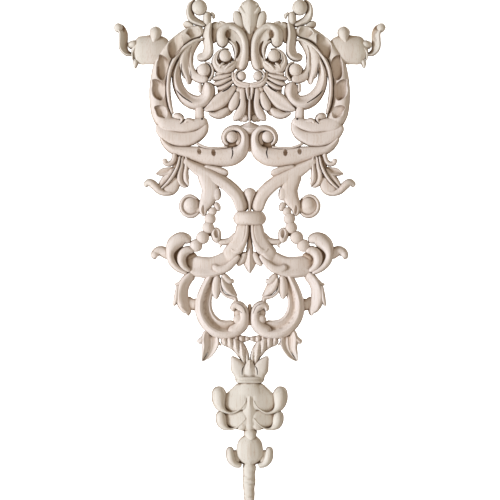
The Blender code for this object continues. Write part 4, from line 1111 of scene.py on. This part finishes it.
class APPLIQUE_OT_carve(bpy.types.Operator):
    """Carve the applique: join its strokes, shade it and put it in place of the plain solid"""

    bl_idname = "applique.carve"
    bl_label = "Carve applique"

    def execute(self, context):
        settings = context.scene.applique_settings
        piece = joined(all_surfaces(), all_cuts())
        add_shade_and_khaki(piece.data)
        piece.data.shade_smooth()
        piece.data.set_sharp_from_angle(angle=settings.edge_angle)
        piece.data.materials.clear()
        piece.data.materials.append(wood_material(settings))
        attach(piece, "root")
        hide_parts(NODE)
        return {"FINISHED"}


# The camera: focal length and sensor width in millimetres, its small step to the right and its height.
LENS = 200.0
SENSOR = 36.0
ASIDE = 0.0003
EYE_LEVEL = -0.032
# The studio's sheets, in metres: how far they reach, the floor's level, the backdrop's place and its top.
REACH = 6.0
FLOOR_LEVEL = -1.2
BACKDROP = 4.5
BACKDROP_TOP = 5.0
SHEETS = (
    ("floor", [(-REACH, -REACH, FLOOR_LEVEL), (REACH, -REACH, FLOOR_LEVEL),
               (REACH, REACH, FLOOR_LEVEL), (-REACH, REACH, FLOOR_LEVEL)]),
    ("backdrop", [(-REACH, BACKDROP, FLOOR_LEVEL), (REACH, BACKDROP, FLOOR_LEVEL),
                  (REACH, BACKDROP, BACKDROP_TOP), (-REACH, BACKDROP, BACKDROP_TOP)]),
)
MATT = 0.9
# The lights: name, place, target, size in metres, power in watts and colour.
MIDDLE = (0.0, 0.0, EYE_LEVEL)
LIGHTS = (
    ("key", (-2.2, -1.35, 0.0), MIDDLE, 0.4, 61.0, (0.86, 0.91, 1.0)),
    ("fill", (0.4, -2.6, 0.3), MIDDLE, 1.6, 7.5, (1.0, 0.86, 0.70)),
    ("backdrop_light", (0.0, 3.7, -0.05), (0.0, BACKDROP, -0.05), 1.7, 32.0, (1.0, 1.0, 1.0)),
    ("back", (1.1, 1.7, 0.8), MIDDLE, 0.5, 20.0, (1.0, 0.95, 0.88)),
)


def studio_material(colour):
    """The plain matt paint of the studio's sheets."""
    material = bpy.data.materials.new("studio_white")
    material.use_nodes = True
    shader = material.node_tree.nodes["Principled BSDF"]
    shader.inputs["Base Color"].default_value = (*colour, 1.0)
    shader.inputs["Roughness"].default_value = MATT
    return material


def sheet_object(name, corners):
    """A flat four-cornered sheet."""
    mesh = bpy.data.meshes.new(name)
    mesh.from_pydata(corners, [], [(0, 1, 2, 3)])
    made = bpy.data.objects.new(name, mesh)
    bpy.context.scene.collection.objects.link(made)
    return made


def area_light(name, place, target, size, power, colour):
    """A square soft light at a place, turned to face a target."""
    data = bpy.data.lights.new(name, "AREA")
    data.shape = "SQUARE"
    data.size = size
    data.energy = power
    data.color = colour
    lamp = bpy.data.objects.new(name, data)
    lamp.location = place
    direction = np.array(target) - np.array(place)
    lamp.rotation_mode = "QUATERNION"
    lamp.rotation_quaternion = mathutils.Vector(direction).to_track_quat("-Z", "Y")
    bpy.context.scene.collection.objects.link(lamp)


def studio_air(settings):
    """The even warm light that comes from all round the studio."""
    world = bpy.data.worlds.new("studio")
    world.use_nodes = True
    background = world.node_tree.nodes["Background"]
    background.inputs["Color"].default_value = (*settings.air, 1.0)
    background.inputs["Strength"].default_value = settings.air_strength
    return world


def front_camera(view_width):
    """A camera that looks straight at the front and takes in the given width at the back plane."""
    data = bpy.data.cameras.new("camera")
    data.lens = LENS
    data.sensor_width = SENSOR
    camera = bpy.data.objects.new("camera", data)
    camera.location = (ASIDE, -view_width * LENS / SENSOR, EYE_LEVEL)
    camera.rotation_euler = (pi / 2, 0.0, 0.0)
    bpy.context.scene.collection.objects.link(camera)
    return camera


class APPLIQUE_OT_stage(bpy.types.Operator):
    """Set the studio: floor, backdrop, lights and camera"""

    bl_idname = "applique.stage"
    bl_label = "Set the stage"

    def execute(self, context):
        settings = context.scene.applique_settings
        scene = context.scene
        white = studio_material(settings.studio_white)
        for name, corners in SHEETS:
            sheet = sheet_object(name, corners)
            sheet.data.materials.append(white)
        for light in LIGHTS:
            area_light(*light)
        scene.world = studio_air(settings)
        scene.view_settings.view_transform = "Standard"
        scene.camera = front_camera(settings.view_width)
        return {"FINISHED"}


class APPLIQUE_PT_panel(bpy.types.Panel):
    """The applique's settings and steps in the sidebar"""

    bl_idname = "APPLIQUE_PT_panel"
    bl_label = "Applique"
    bl_space_type = "VIEW_3D"
    bl_region_type = "UI"
    bl_category = "Applique"

    def draw(self, context):
        settings = context.scene.applique_settings
        for name in AppliqueSettings.__annotations__:
            self.layout.prop(settings, name)
        self.layout.operator(APPLIQUE_OT_carve.bl_idname)
        self.layout.operator(APPLIQUE_OT_stage.bl_idname)


CLASSES = (AppliqueSettings, APPLIQUE_OT_carve, APPLIQUE_OT_stage, APPLIQUE_PT_panel)


def register():
    """Register the classes and the settings."""
    for item in CLASSES:
        bpy.utils.register_class(item)
    bpy.types.Scene.applique_settings = bpy.props.PointerProperty(type=AppliqueSettings)


def unregister():
    """Undo register."""
    del bpy.types.Scene.applique_settings
    for item in reversed(CLASSES):
        bpy.utils.unregister_class(item)


def main():
    """Build the piece and the stage."""
    register()
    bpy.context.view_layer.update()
    bpy.ops.applique.carve()
    bpy.ops.applique.stage()


if __name__ == "__main__":
    main()
